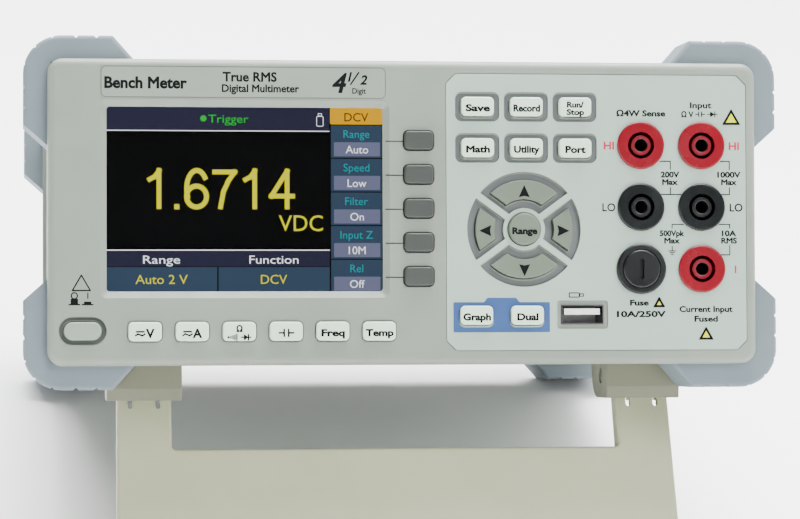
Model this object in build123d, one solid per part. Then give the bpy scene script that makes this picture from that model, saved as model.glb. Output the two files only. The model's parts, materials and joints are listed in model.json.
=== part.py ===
from build123d import *
import os
from math import cos, radians, sin, tan

# Half-rack bench digital multimeter standing on its tilt stand. All lengths are millimetres.
#
# Every piece is drawn in the meter's own frame: X to the right, Y from the front panel towards the
# back, Z up, with the origin in the middle of the panel's flat face. The last section leans the
# whole meter back, as the opened stand holds it, and sets it down on the plane Z = 0.

# ---------------------------------------------------------------- case
panel_width = 218.2
panel_height = 93.1
corner_radius = 4.7
rim_radius = 2.3  # rounded front edge of the bezel
bezel_wall = 2.5
face_thickness = 3.0
bezel_depth = 27.0
body_length = 288.0  # panel face to the back edge of the rear frame
rear_frame_depth = 30.0
rear_plate_inset = 10.0  # rear plate's outer face in from the frame's back edge
rear_plate_thickness = 2.5
cover_thickness = 1.2
cover_gap = 0.2  # cover to the frames that it slides into
cover_lap = 8.0  # length of cover inside each frame
lip_height = 5.0  # bottom cover's lip inside the top cover
lip_gap = 0.15
split_gap = 0.2
part_gap = 0.1  # between fixed pieces that are let into each other
press_gap = 0.02  # between fixed pieces that are pressed together

# ---------------------------------------------------------------- corner bumpers
bumper_front = 4.0
bumper_depth = 22.5
bumper_height = 7.3  # how far they stand out of the case
bumper_reach = 26.3  # from the case's corner along each side
bumper_slant = 6.5  # run of the slanted ends
bumper_radius = 11.8
bumper_edge = 1.4
rear_bumper_overhang = 4.0  # past the rear frame's back edge
rear_bumper_depth = 30.0
notch_pitch = 6.2
notch_width = 1.6
notch_depth = 0.9
arc_notch_depth = 0.6
notch_angles = (15.0, 45.0, 75.0)  # grooves round a bumper's corner
corner_overlap = 1.0  # block that the bumper is cut from reaches this far into the case's corner

# ---------------------------------------------------------------- display
screen_width = 84.0
screen_height = 56.0
screen_x = -49.3
screen_z = 3.95
screen_corner = 1.0
screen_slope = 2.0  # width of the slanted border round the screen
screen_recess = 1.5
window_margin = 3.0
window_thickness = 2.0
lcd_frame = 4.0  # metal frame round the visible area
lcd_thickness = 2.9

# ---------------------------------------------------------------- control overlay
overlay_left = 12.0
overlay_right = 106.0
overlay_low = -42.4
overlay_high = 42.75
overlay_chamfer = 3.0
overlay_thickness = 0.5
overlay_gap = 0.2

# ---------------------------------------------------------------- keys
key_gap = 0.3  # key to its hole, all round
key_height = 1.5
key_edge = 0.6
key_corner = 1.5
key_travel = 0.9
flange_margin = 1.0
flange_thickness = 1.2
flange_clearance = 0.15
mat_clearance = 0.2  # pressed key to the mat
mat_side = 5.05  # mat past the leftmost key
mat_thickness = 1.2
board_thickness = 1.6
well_width = 13.7
well_height = 9.1
well_corner = 2.0
cap_width = 10.1
cap_height = 5.85
soft_cap_width = 9.15
soft_x = 3.65
soft_top_z = 22.0
soft_pitch = 10.39
function_x = -79.79
function_z = -36.2
function_pitch = 14.22
menu_x = 21.8
menu_z = 32.5
menu_pitch_x = 15.15
menu_pitch_z = 12.65
graph_x = 21.3
graph_z = -31.5
graph_pitch = 15.7

# ---------------------------------------------------------------- arrow pad
pad_x = 36.2
pad_z = -5.1
pad_radius = 17.65
pad_hub_radius = 6.5
pad_recess = 1.4
spoke_width = 2.0
spoke_angle = 36.0  # either side of horizontal
arrow_outer = 15.1
arrow_inner = 9.2
arrow_margin = 1.8  # arrow key to its pocket, beside the spokes
range_key_radius = 4.95

# ---------------------------------------------------------------- power button and switch
power_x = -98.5
power_z = -36.0
power_width = 11.4
power_height = 5.5
power_well_margin = 1.5
power_well_depth = 1.2
power_proud = 1.2
power_travel = 2.8
power_stem = 4.0
power_stem_end = 20.0
switch_size = (12.0, 27.0, 11.0)
switch_lug = (1.0, 6.0, 4.0)
switch_gap = 4.0  # stem end to the switch body, bridged by the switch's plunger

# ---------------------------------------------------------------- input jacks and fuse
jack_pitch = 19.05
jack_x = 72.675
jack_z = 20.81
jack_flange_radius = 7.35
jack_flange_height = 1.1
jack_body_radius = 6.0
jack_body_length = 27.0
jack_hole_gap = 0.15
jack_snap_height = 0.35
shroud_radius = 4.1  # round socket that takes a shrouded test-lead plug
shroud_depth = 20.0
tube_radius = 3.0
plug_bore_radius = 2.0
plug_bore_depth = 24.0
tube_recess = 0.2
tail_radius = 1.5
tail_length = 8.0
fuse_flange_radius = 7.75
fuse_flange_height = 1.3
fuse_body_radius = 7.0
fuse_body_length = 38.0
fuse_cap_radius = 5.9
fuse_cap_length = 10.0
fuse_cap_proud = 1.6
fuse_gap = 0.15
fuse_slot_width = 1.4
fuse_slot_length = 6.3
fuse_slot_depth = 1.3
fuse_radius = 2.6
fuse_length = 20.0
fuse_end_cap = 5.0
fuse_glass_inset = 0.15
carrier_radius = 4.0
carrier_length = 8.0
carrier_pin_radius = 1.5
carrier_pin_length = 4.0
running_gap = 0.05

# ---------------------------------------------------------------- front socket for a memory stick
usb_x = 54.3
usb_z = -31.3
usb_width = 12.5
usb_height = 5.12
usb_shell = 0.3
usb_depth = 14.0
usb_zone_width = 15.9
usb_zone_height = 8.7
usb_tongue_width = 11.1
usb_tongue_thickness = 1.84
usb_tongue_drop = 0.7  # below the socket's upper wall
usb_block = 2.0

# ---------------------------------------------------------------- tilt stand
lean = 20.0  # opened stand forward of the meter's own vertical, degrees
tilt = 16.5  # meter leaned back by the opened stand, degrees
fold_angle = 90.0 + lean
bracket_x = 78.9
bracket_width = 23.3
bracket_front = 28.5
bracket_depth = 26.0
bracket_drop = 10.9  # below the bezel's lower edge
bracket_wall = 3.0
bracket_top = 1.5
bracket_heel = 10.0
bracket_chamfer = (0.6, 3.7)
arm_width = 16.85
arm_gap = 0.3
barrel_radius = 4.8
barrel_top_gap = 0.35
pin_radius = 2.5
pin_recess = 0.6
stop_gap = 0.05
slot_width = 1.5
slot_offset = 4.35
slot_below = 2.6  # slots run this far past the bracket's lower edge
shoulder_drop = 15.0  # notch between the arms, below the bracket's lower edge
plate_thickness = 2.5
stand_rim = 6.5
foot_facet = 2.5
foot_flare = 1.0
foot_corner = 6.0
notch_corner = 1.4
stand_rib = 1.6
rib_height = 5.0
spigot_radius = 3.0  # round spigots that locate each bracket in the bottom cover
spigot_step = 7.0  # in front of and behind the bracket's middle

# ---------------------------------------------------------------- inside
board_height = 6.0  # main board above the bottom cover's floor
post_radius = 3.2
main_board_width = 196.0
main_board_front = 40.0
main_board_gap = 3.5  # board's back edge to the rear plate
main_board_margin = 3.0  # board edge to the pieces that it is cut away for
post_inset = 18.0
post_front = 20.0
# width, depth, height, x and y of each chip on the main board
chips = (
    (14.0, 14.0, 2.0, -10.0, 110.0),
    (10.0, 10.0, 1.6, 12.0, 150.0),
    (18.0, 18.0, 9.0, 60.0, 180.0),
)
driver_size = (24.0, 8.0, 3.0)  # chip in front of the transformer
driver_x = -30.0
driver_gap = 27.0
capacitor_radius = 5.0
capacitor_height = 14.0
capacitor_count = 4
capacitor_pitch = 12.0
capacitor_x = -10.0
capacitor_step = 50.5  # middle of the row to the rear plate
transformer_size = (58.0, 66.0, 50.0)
transformer_x = -66.0
transformer_step = 61.5  # its middle to the rear plate
core_depth = 33.0
coil_size = (31.9, 56.8, 31.0)
coil_corner = 4.0
strap_thickness = 1.5
can_size = (70.0, 60.0, 18.0)
can_x = 52.0
can_y = 90.0
can_wall = 0.5

# ---------------------------------------------------------------- rear sockets
inlet_x = -74.0
inlet_z = 14.0
inlet_flange = (50.0, 31.0, 2.0)
inlet_body = (28.0, 28.0, 26.0)
inlet_mouth = (24.6, 16.6)
inlet_mouth_z = 4.6
inlet_mouth_depth = 17.0
inlet_blade = (2.0, 4.0, 15.0)
inlet_blades = ((-7.0, -1.5), (7.0, -1.5), (0.0, 2.5))
inlet_screw = (3.2, 1.2, 5.0)  # head's radius and height, and how far in from the flange's end
drawer_size = (21.0, 7.6, 22.0)
drawer_z = -9.4
drawer_gap = 0.2
drawer_lip = 0.8  # face of the drawer, proud of the flange
drawer_notch = (8.0, 2.4)
selector_x = -74.0
selector_z = -22.0
selector_slider = (8.6, 6.0)
selector_travel = 5.0
selector_gap = 0.2
selector_pocket = 6.0
selector_wall = 1.5
selector_ridge = 1.6
lan_x = 6.0
lan_size = (16.0, 13.6, 21.0)
lan_mouth = (12.0, 8.6, 14.0)
type_b_x = -20.0
type_b_size = (12.0, 11.0, 16.0)
type_b_mouth = (8.6, 7.9, 9.0)
type_b_tongue = (5.6, 3.2)
socket_proud = 0.6
socket_hole_gap = 0.3
serial_x = 40.0
serial_flange = (31.0, 12.6, 1.0)
serial_shell = (17.0, 8.6, 6.0)
serial_z_above_board = 7.4
serial_wall = 0.5
serial_pin_radius = 0.5
serial_pin_pitch = 2.76
serial_row_pitch = 2.84
serial_post = (2.8, 4.0)
serial_block = 6.0  # insulator behind the flange
bnc_x = 74.0
bnc_pitch = 19.0
bnc_z = -24.0
bnc_radius = 4.8
bnc_length = 12.0
bnc_bore_radius = 4.1
bnc_flange_radius = 7.2
bnc_flange_thickness = 1.5
bnc_bore_floor = 3.0
bnc_contact_radius = 1.1
bnc_lug_radius = 1.0
bnc_tail = 12.0
vent_slot = (3.0, 20.0)
vent_pitch = 6.0
vent_count = 13
vent_x = 6.0
vent_z = 18.0
screw_x = 98.0
screw_z = 36.0
screw_radius = 1.5
screw_head = (3.0, 2.0)
screw_length = 12.0
screw_hole_gap = 0.2
screw_cross = (0.8, 2.6)
boss_width = 12.0

# ---------------------------------------------------------------- worked out from the sizes above
panel_bottom = -panel_height / 2
cover_width = panel_width - 2 * (bezel_wall + cover_gap)
cover_height = panel_height - 2 * (bezel_wall + cover_gap)
cover_front = bezel_depth - cover_lap
rear_frame_front = body_length - rear_frame_depth
cover_back = rear_frame_front + cover_lap
rear_face = body_length - rear_plate_inset
rear_plate_front = rear_face - rear_plate_thickness
selector_window = (
    selector_slider[0] + selector_travel + 2 * selector_gap,
    selector_slider[1] + 2 * selector_gap,
)
selector_floor = rear_plate_front - selector_pocket + selector_wall
cover_bottom = -cover_height / 2
floor_inside = cover_bottom + cover_thickness
board_bottom = floor_inside + board_height
board_top = board_bottom + board_thickness
main_board_length = rear_plate_front - main_board_gap - main_board_front
transformer_y = rear_plate_front - transformer_step
capacitor_y = rear_plate_front - capacitor_step
driver_y = transformer_y - transformer_size[1] / 2 - driver_gap - driver_size[1] / 2

flange_front = face_thickness + flange_clearance
mat_front = flange_front + flange_thickness + key_travel + mat_clearance
key_board_front = mat_front + mat_thickness
key_board_back = key_board_front + board_thickness
window_back = screen_recess + window_thickness
screen_bottom = screen_z - screen_height / 2

bracket_bottom = panel_bottom - bracket_drop
bracket_roof = cover_bottom - bracket_top
hinge_z = bracket_roof - barrel_top_gap - barrel_radius
stop_y = bracket_front + bracket_wall
hinge_y = (
    stop_y
    + stop_gap
    + barrel_radius / cos(radians(lean))
    + (hinge_z - bracket_bottom) * tan(radians(lean))
)


def along_stand(z):
    """Distance from the hinge, along the opened stand's front face, down to height z."""
    return (hinge_z - z + barrel_radius * sin(radians(lean))) / cos(radians(lean))


slot_end = along_stand(bracket_bottom - slot_below)
shoulder = along_stand(bracket_bottom - shoulder_drop)

# The opened meter stands on the stand's foot and on the lower edges of its rear bumpers.
bumper_back = body_length + rear_bumper_overhang
heel_y = bumper_back - bumper_edge
heel_z = panel_bottom - bumper_height + bumper_edge
ground = heel_z * cos(radians(tilt)) - heel_y * sin(radians(tilt)) - bumper_edge
facet_offset = barrel_radius - stand_rim + foot_facet
stand_length = (
    (hinge_z + facet_offset * sin(radians(lean))) * cos(radians(tilt))
    - (hinge_y - facet_offset * cos(radians(lean))) * sin(radians(tilt))
    - ground
) / cos(radians(lean + tilt))

jacks = {
    "sense_hi": (jack_x, jack_z),
    "sense_lo": (jack_x, jack_z - jack_pitch),
    "input_hi": (jack_x + jack_pitch, jack_z),
    "input_lo": (jack_x + jack_pitch, jack_z - jack_pitch),
    "current": (jack_x + jack_pitch, jack_z - 2 * jack_pitch),
}
fuse_place = (jack_x, jack_z - 2 * jack_pitch)

function_names = ("volts", "amps", "ohms", "capacitance", "frequency", "temperature")
menu_names = (("save", "record", "run_stop"), ("math", "utility", "port"))
well_keys = {
    f"{name}_key": (menu_x + column * menu_pitch_x, menu_z - row * menu_pitch_z)
    for row, names in enumerate(menu_names)
    for column, name in enumerate(names)
}
overlay_keys = {
    "graph_key": (graph_x, graph_z),
    "dual_key": (graph_x + graph_pitch, graph_z),
}
bezel_keys = {
    f"{name}_key": (function_x + i * function_pitch, function_z)
    for i, name in enumerate(function_names)
}
soft_keys = {f"soft_key_{i + 1}": (soft_x, soft_top_z - i * soft_pitch) for i in range(5)}
rows_of_keys = {**well_keys, **overlay_keys, **bezel_keys, **soft_keys}
arrow_names = ("up", "down", "left", "right")


# ---------------------------------------------------------------- drawing helpers
def panel_plane(depth):
    """Plane parallel to the panel at a depth behind it, with X to the right and Y upwards."""
    return Plane(origin=(0, depth, 0), x_dir=(1, 0, 0), z_dir=(0, -1, 0))


def slab(outline, front, back):
    """Solid of one outline, drawn as seen from the front, between two depths."""
    return extrude(panel_plane(back) * outline, amount=back - front)


def tower(outline, low, high):
    """Solid of one outline, drawn as seen from above, between two heights."""
    return extrude(Pos(0, 0, low) * outline, amount=high - low)


def place(x, z, outline):
    return Pos(x, z) * outline


def block(size, centre):
    """Box of width, depth and height about a centre."""
    return Pos(*centre) * Box(*size)


def tube(outer, inner, front, back):
    """Round tube along Y, centred on X = Z = 0."""
    return slab(Circle(outer), front, back) - slab(Circle(inner), front, back)


def move(x, z, solid):
    """Carries a piece drawn on the Y axis to its place on the panel."""
    return Pos(x, 0, z) * solid


def rounded(width, height, radius):
    return RectangleRounded(width, height, radius)


def cap_outline(name, margin=0.0):
    """Outline of a rectangular key's cap, or of its hole or flange with a margin."""
    width = soft_cap_width if name in soft_keys else cap_width
    x, z = rows_of_keys[name]
    shape = rounded(width + 2 * margin, cap_height + 2 * margin, key_corner + margin)
    return place(x, z, shape)


def pad_quarters(outer, inner, gap):
    """Ring round the range key, cut by the two spokes into quarters."""
    ring = Circle(outer) - Circle(inner)
    for angle in (spoke_angle, -spoke_angle):
        ring -= Rot(0, 0, angle) * Rectangle(3 * pad_radius, gap)
    return ring


def arrow_outline(name, margin=0.0):
    """Outline of one arrow key, or of its hole or flange with a margin."""
    gap = spoke_width + 2 * arrow_margin - 2 * margin
    quarters = pad_quarters(arrow_outer + margin, arrow_inner - margin, gap).faces()
    axis = Axis.Y if name in ("up", "down") else Axis.X
    quarter = quarters.sort_by(axis)[-1 if name in ("up", "right") else 0]
    return place(pad_x, pad_z, Sketch() + quarter)


def power_outline(margin=0.0):
    width, height = power_width + 2 * margin, power_height + 2 * margin
    return place(power_x, power_z, SlotOverall(width, height))


def overlay_outline(gap=0.0):
    width = overlay_right - overlay_left - 2 * gap
    height = overlay_high - overlay_low - 2 * gap
    sheet = chamfer(Rectangle(width, height).vertices(), overlay_chamfer)
    middle = (overlay_left + overlay_right) / 2, (overlay_low + overlay_high) / 2
    return place(*middle, sheet)


def screen_outline(margin):
    return place(
        screen_x,
        screen_z,
        rounded(
            screen_width + 2 * margin, screen_height + 2 * margin, screen_corner + margin / 2
        ),
    )


# ---------------------------------------------------------------- front panel
def front_bezel():
    """Moulded front: a deep tray with the screen, key, jack and socket openings."""
    tray = slab(rounded(panel_width, panel_height, corner_radius), 0, bezel_depth)
    tray = fillet(tray.edges().group_by(Axis.Y)[0], rim_radius)
    inside = rounded(
        panel_width - 2 * bezel_wall, panel_height - 2 * bezel_wall, corner_radius - bezel_wall
    )
    tray -= slab(inside, face_thickness, bezel_depth)
    funnel = [
        panel_plane(0) * screen_outline(screen_slope),
        panel_plane(screen_recess) * screen_outline(0),
    ]
    tray -= loft([sketch.face() for sketch in funnel])
    tray -= slab(screen_outline(window_margin), screen_recess, face_thickness)
    tray -= slab(overlay_outline(), 0, overlay_thickness)
    for name in rows_of_keys:
        tray -= slab(cap_outline(name, key_gap), 0, face_thickness)
    pockets = place(pad_x, pad_z, pad_quarters(pad_radius, pad_hub_radius, spoke_width))
    tray -= slab(pockets, 0, pad_recess)
    for name in arrow_names:
        tray -= slab(arrow_outline(name, key_gap), 0, face_thickness)
    tray -= move(pad_x, pad_z, slab(Circle(range_key_radius + key_gap), 0, face_thickness))
    tray -= slab(power_outline(power_well_margin), 0, power_well_depth)
    tray -= slab(power_outline(key_gap), 0, face_thickness)
    for x, z in jacks.values():
        tray -= move(x, z, slab(Circle(jack_body_radius + jack_hole_gap), 0, face_thickness))
    tray -= move(
        *fuse_place, slab(Circle(fuse_body_radius + jack_hole_gap), 0, face_thickness)
    )
    tray -= move(usb_x, usb_z, slab(usb_outline(usb_shell + part_gap), 0, face_thickness))
    return tray


def terminal_overlay():
    """Thin label sheet let into the bezel, pierced for the keys, pad, jacks and socket."""
    sheet = overlay_outline(overlay_gap)
    for x, z in well_keys.values():
        sheet -= place(x, z, rounded(well_width, well_height, well_corner))
    for name in overlay_keys:
        sheet -= cap_outline(name, key_gap)
    sheet -= place(pad_x, pad_z, pad_quarters(pad_radius, pad_hub_radius, spoke_width))
    sheet -= place(pad_x, pad_z, Circle(range_key_radius + key_gap))
    for x, z in jacks.values():
        sheet -= place(x, z, Circle(jack_body_radius + jack_hole_gap))
    sheet -= place(*fuse_place, Circle(fuse_body_radius + jack_hole_gap))
    sheet -= place(usb_x, usb_z, rounded(usb_zone_width, usb_zone_height, well_corner / 2))
    return slab(sheet, 0, overlay_thickness)


def display_window():
    return slab(screen_outline(window_margin - part_gap), screen_recess, window_back)


def lcd_module():
    """Display module: metal frame with a shallow window over the glass."""
    frame = place(
        screen_x, screen_z, Rectangle(screen_width + 2 * lcd_frame, screen_height + 2 * lcd_frame)
    )
    body = slab(frame, window_back, window_back + lcd_thickness)
    glass = place(screen_x, screen_z, Rectangle(screen_width + 1, screen_height + 1))
    return body - slab(glass, window_back, window_back + 0.4)


# ---------------------------------------------------------------- keys
def push_key(cap, flange):
    """A key: its cap stands proud of the panel and its flange holds it behind the face."""
    stem = slab(cap, -key_height, flange_front)
    stem = fillet(stem.edges().group_by(Axis.Y)[0], key_edge)
    return stem + slab(flange, flange_front, flange_front + flange_thickness)


def arrow_key(name):
    """Arrow key: it stands in its pocket, level with the spokes, with a soft edge."""
    cap = arrow_outline(name)
    stem = slab(cap, -key_edge, flange_front)
    stem = fillet(stem.edges().group_by(Axis.Y)[0], key_edge / 2)
    flange = arrow_outline(name, flange_margin)
    return stem + slab(flange, flange_front, flange_front + flange_thickness)


def range_key():
    return move(
        pad_x,
        pad_z,
        push_key(Circle(range_key_radius), Circle(range_key_radius + flange_margin)),
    )


def power_button():
    """Latching button, drawn pushed in, with the stem that works the mains switch."""
    cap = slab(power_outline(), -power_proud, flange_front + power_travel)
    cap = fillet(cap.edges().group_by(Axis.Y)[0], key_edge)
    flange_at = flange_front + power_travel
    flange = slab(power_outline(flange_margin), flange_at, flange_at + flange_thickness)
    stem = slab(Rectangle(power_stem, power_stem), flange_at, power_stem_end)
    return cap + flange + move(power_x, power_z, stem)


def key_areas(margin):
    """Silicone and board outline behind the keys, clear of the display module."""
    left = screen_x + screen_width / 2 + lcd_frame + margin
    right = usb_x + usb_width / 2 + 2 + margin
    half = panel_height / 2 - bezel_wall - 1 - margin
    column = place((left + right) / 2, 0, Rectangle(right - left, 2 * half))
    strip_top = screen_bottom - lcd_frame - margin
    strip_left = function_x - cap_width / 2 - mat_side
    strip = place(
        (strip_left + right) / 2,
        (strip_top - half) / 2,
        Rectangle(right - strip_left, strip_top + half),
    )
    return column + strip - usb_passage()


def usb_outline(margin=0.0):
    return Rectangle(usb_width + 2 * margin, usb_height + 2 * margin)


def usb_passage():
    return place(usb_x, usb_z, usb_outline(usb_shell + 2 * part_gap))


def keypad_mat():
    """Silicone mat with a shallow carbon-pill pocket behind every key."""
    outline = key_areas(part_gap) - power_outline(flange_margin + part_gap)
    mat = slab(outline, mat_front, key_board_front)
    pill = mat_thickness / 2
    middle = (arrow_outer + arrow_inner) / 2
    ways = ((0, 0), (0, 1), (0, -1), (1, 0), (-1, 0))
    centres = [*rows_of_keys.values()]
    centres += [(pad_x + right * middle, pad_z + up * middle) for right, up in ways]
    for x, z in centres:
        mat -= move(x, z, slab(Circle(mat_thickness), key_board_front - pill, key_board_front))
    return mat


def key_board():
    """Circuit board behind the keys and the display, with a gap for the power button."""
    inside = panel_width / 2 - bezel_wall - 1
    half = panel_height / 2 - bezel_wall - 1
    right = jack_x - fuse_body_radius - 2
    board = place((right - inside) / 2, 0, Rectangle(right + inside, 2 * half))
    board -= power_outline(flange_margin + 1)
    board -= usb_passage()
    return slab(board, key_board_front, key_board_back)


def power_switch():
    """Mains switch behind the power button, with its plunger drawn pushed in."""
    width, depth, height = switch_size
    start = power_stem_end + switch_gap
    body = block(switch_size, (power_x, start + depth / 2, power_z))
    plunger = move(power_x, power_z, slab(Circle(power_stem / 2), power_stem_end, start + 1))
    lugs = [
        block(switch_lug, (power_x + dx, start + depth + switch_lug[1] / 2 - 0.5, power_z + dz))
        for dx in (-width / 4, width / 4)
        for dz in (-height / 4, height / 4)
    ]
    return body + plunger + lugs


# ---------------------------------------------------------------- jacks and current fuse
def jack_body():
    """Shrouded 4 mm safety jack: flanged insulator with a round socket for the plug's sleeve."""
    flange = slab(Circle(jack_flange_radius), -jack_flange_height, 0)
    flange = fillet(flange.edges().group_by(Axis.Y)[0], jack_flange_height / 2)
    body = flange + slab(Circle(jack_body_radius), 0, jack_body_length)
    snap = tube(jack_body_radius + jack_snap_height + jack_hole_gap, jack_body_radius - 1, 0, 1.5)
    body += Pos(0, face_thickness + part_gap, 0) * snap
    body -= slab(Circle(shroud_radius), -jack_flange_height, shroud_depth)
    return body - slab(Circle(tube_radius + press_gap), shroud_depth, jack_body_length)


def jack_contact():
    """Turned contact: a tube for the plug with a solder tail behind."""
    mouth = -jack_flange_height + tube_recess
    body = slab(Circle(tube_radius), mouth, jack_body_length)
    body = chamfer(body.edges().group_by(Axis.Y)[0], tube_recess)
    body += slab(Circle(tail_radius), jack_body_length, jack_body_length + tail_length)
    return body - slab(Circle(plug_bore_radius), mouth, mouth + plug_bore_depth)


def fuse_holder():
    """Panel fuse holder: flanged socket, wide in front for the cap and narrow for the carrier."""
    body = slab(Circle(fuse_flange_radius), -fuse_flange_height, 0)
    body = fillet(body.edges().group_by(Axis.Y)[0], fuse_flange_height / 2)
    body += slab(Circle(fuse_body_radius), 0, fuse_body_length)
    wide = fuse_cap_length - fuse_cap_proud + fuse_gap
    body -= slab(Circle(fuse_cap_radius + fuse_gap), -fuse_flange_height, wide)
    body -= slab(Circle(carrier_radius + fuse_gap), wide, fuse_body_length - 2)
    lug = slab(Rectangle(2.4, 0.8), fuse_body_length, fuse_body_length + 6)
    return body + lug


def fuse_cap():
    """Screwdriver-slotted cap that turns on the carrier's pin."""
    front = -fuse_cap_proud
    cap = slab(Circle(fuse_cap_radius), front, front + fuse_cap_length)
    cap = fillet(cap.edges().group_by(Axis.Y)[0], key_edge)
    slot = SlotOverall(fuse_slot_length, fuse_slot_width, rotation=90)
    cap -= slab(slot, front, front + fuse_slot_depth)
    back = front + fuse_cap_length
    return cap - slab(Circle(carrier_pin_radius + running_gap), back - carrier_pin_length, back)


def fuse_carrier():
    """Clip that holds the fuse's front end and carries the cap on a pin."""
    start = fuse_cap_length - fuse_cap_proud + fuse_gap
    cup = slab(Circle(carrier_radius), start, start + carrier_length)
    cup -= slab(Circle(fuse_radius + press_gap), start + 2, start + carrier_length)
    pin = slab(Circle(carrier_pin_radius), start - carrier_pin_length + fuse_gap, start)
    return cup + pin


def fuse_link():
    """Glass fuse with its two metal end caps."""
    start = fuse_cap_length - fuse_cap_proud + fuse_gap + 2
    end = start + fuse_length
    tips = (start, end - fuse_end_cap)
    ends = [slab(Circle(fuse_radius), tip, tip + fuse_end_cap) for tip in tips]
    glass = Circle(fuse_radius - fuse_glass_inset)
    return slab(glass, start + fuse_end_cap, end - fuse_end_cap) + ends


def usb_socket():
    """Folded metal shell of the front memory-stick socket."""
    shell = slab(usb_outline(usb_shell), 0, usb_depth)
    shell -= slab(usb_outline(), 0, usb_depth)
    return move(usb_x, usb_z, shell)


def usb_tongue():
    """Insulating tongue on a block that closes the back of the socket."""
    tongue = place(
        0,
        usb_height / 2 - usb_tongue_drop - usb_tongue_thickness / 2,
        Rectangle(usb_tongue_width, usb_tongue_thickness),
    )
    back = slab(usb_outline(-press_gap), usb_depth - usb_block, usb_depth)
    return move(usb_x, usb_z, slab(tongue, 1.0, usb_depth - usb_block) + back)


# ---------------------------------------------------------------- case shells
def cover_ring(inset, front, back):
    """Closed ring of cover wall, before it is split into its top and bottom halves."""
    radius = corner_radius - bezel_wall
    outer = rounded(cover_width - 2 * inset, cover_height - 2 * inset, radius)
    inner = rounded(
        cover_width - 2 * (inset + cover_thickness),
        cover_height - 2 * (inset + cover_thickness),
        radius / 2,
    )
    return slab(outer - inner, front, back)


def half_space(low, high):
    depth = cover_back - cover_front + 2
    return block(
        (panel_width, depth, high - low), (0, (cover_front + cover_back) / 2, (low + high) / 2)
    )


def screw_boss(x, z):
    """Corner block of a cover that a rear screw bites into."""
    side = 1 if x > 0 else -1
    up = 1 if z > 0 else -1
    inner_x, inner_z = abs(x) - boss_width / 2, abs(z) - boss_width / 2
    outer_x = cover_width / 2 - cover_thickness
    outer_z = cover_height / 2 - cover_thickness
    size = (outer_x - inner_x, screw_length, outer_z - inner_z)
    centre = (
        side * (outer_x + inner_x) / 2,
        cover_back - screw_length / 2,
        up * (outer_z + inner_z) / 2,
    )
    return block(size, centre)


def screw_holes(up):
    radius = screw_radius + running_gap
    hole = slab(Circle(radius), cover_back - screw_length - 1, cover_back)
    return [move(side * screw_x, up * screw_z, hole) for side in (-1, 1)]


def top_cover():
    """Upper half of the sheet-metal case, with its screw bosses and side vents."""
    shell = cover_ring(0, cover_front, cover_back) & half_space(split_gap, panel_height)
    for side in (-1, 1):
        shell += screw_boss(side * screw_x, screw_z)
    shell -= screw_holes(1)
    slot = vent_slot[0]
    for i in range(vent_count):
        y = cover_back - screw_length - 10 - i * vent_pitch
        shell -= block((panel_width, slot, vent_slot[1]), (0, y, vent_z))
    return shell


def bottom_cover():
    """Lower half of the case: lip, board posts, screw bosses and the holes for the brackets."""
    ring = cover_ring(0, cover_front, cover_back)
    shell = ring & half_space(-panel_height, 0)
    lip = cover_ring(cover_thickness + lip_gap, cover_front, cover_back - screw_length)
    lip_foot = 2 * lip_height
    inside_lip = lip & half_space(-lip_foot, lip_height)
    joint = cover_ring(cover_thickness / 2, cover_front, cover_back - screw_length)
    shell += inside_lip
    shell += joint & half_space(-lip_foot, -lip_height)
    for x, y in board_posts():
        post = Pos(x, y) * Circle(post_radius)
        shell += tower(post, floor_inside - cover_thickness / 2, board_bottom)
    for side in (-1, 1):
        shell += screw_boss(side * screw_x, -screw_z)
    shell -= screw_holes(-1)
    for x, y in spigot_places():
        hole = Pos(x, y) * Circle(spigot_radius + part_gap)
        shell -= tower(hole, cover_bottom, floor_inside)
    return shell


def board_posts():
    """Places of the posts that carry the main board."""
    half = main_board_width / 2 - post_inset
    front = main_board_front + post_front
    back = main_board_front + main_board_length - 2.5 * post_front
    middle = transformer_y - transformer_size[1]
    return [(x, y) for x in (-half, 0, half) for y in (front, middle)] + [(0, back), (half, back)]


def spigot_places():
    """Places of the round spigots that locate the brackets in the cover."""
    middle = bracket_front + bracket_depth / 2
    steps = (-spigot_step, spigot_step)
    return [(side * bracket_x, middle + step) for side in (-1, 1) for step in steps]


def rear_panel():
    """Rear frame and plate in one moulding, with the socket openings and vents."""
    frame = slab(rounded(panel_width, panel_height, corner_radius), rear_frame_front, body_length)
    frame = fillet(frame.edges().group_by(Axis.Y)[-1], 1.0)
    inside = rounded(
        panel_width - 2 * bezel_wall, panel_height - 2 * bezel_wall, corner_radius - bezel_wall
    )
    frame -= slab(inside, rear_frame_front, rear_plate_front)
    frame -= slab(inside, rear_face, body_length)
    openings = [
        place(inlet_x, inlet_z, socket_hole(inlet_body[0], inlet_body[2])),
        place(selector_x, selector_z, Rectangle(*selector_window)),
        place(lan_x, socket_z(lan_size), socket_hole(*lan_size[:2])),
        place(type_b_x, socket_z(type_b_size), socket_hole(*type_b_size[:2])),
        place(serial_x, serial_z(), socket_hole(*serial_shell[:2])),
    ]
    bnc_hole = Circle(bnc_radius + socket_hole_gap)
    openings += [place(bnc_x + i * bnc_pitch, bnc_z, bnc_hole) for i in (0, 1)]
    openings += [
        place(vent_x + i * vent_pitch, vent_z, SlotOverall(vent_slot[1], vent_slot[0], rotation=90))
        for i in range(vent_count)
    ]
    for outline in openings:
        frame -= slab(outline, rear_plate_front, rear_face)
    hole = slab(Circle(screw_radius + screw_hole_gap), rear_plate_front, rear_face)
    for side in (-1, 1):
        for up in (-1, 1):
            frame -= move(side * screw_x, up * screw_z, hole)
    return frame + selector_box()


def socket_hole(width, height):
    return Rectangle(width + 2 * socket_hole_gap, height + 2 * socket_hole_gap)


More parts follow.
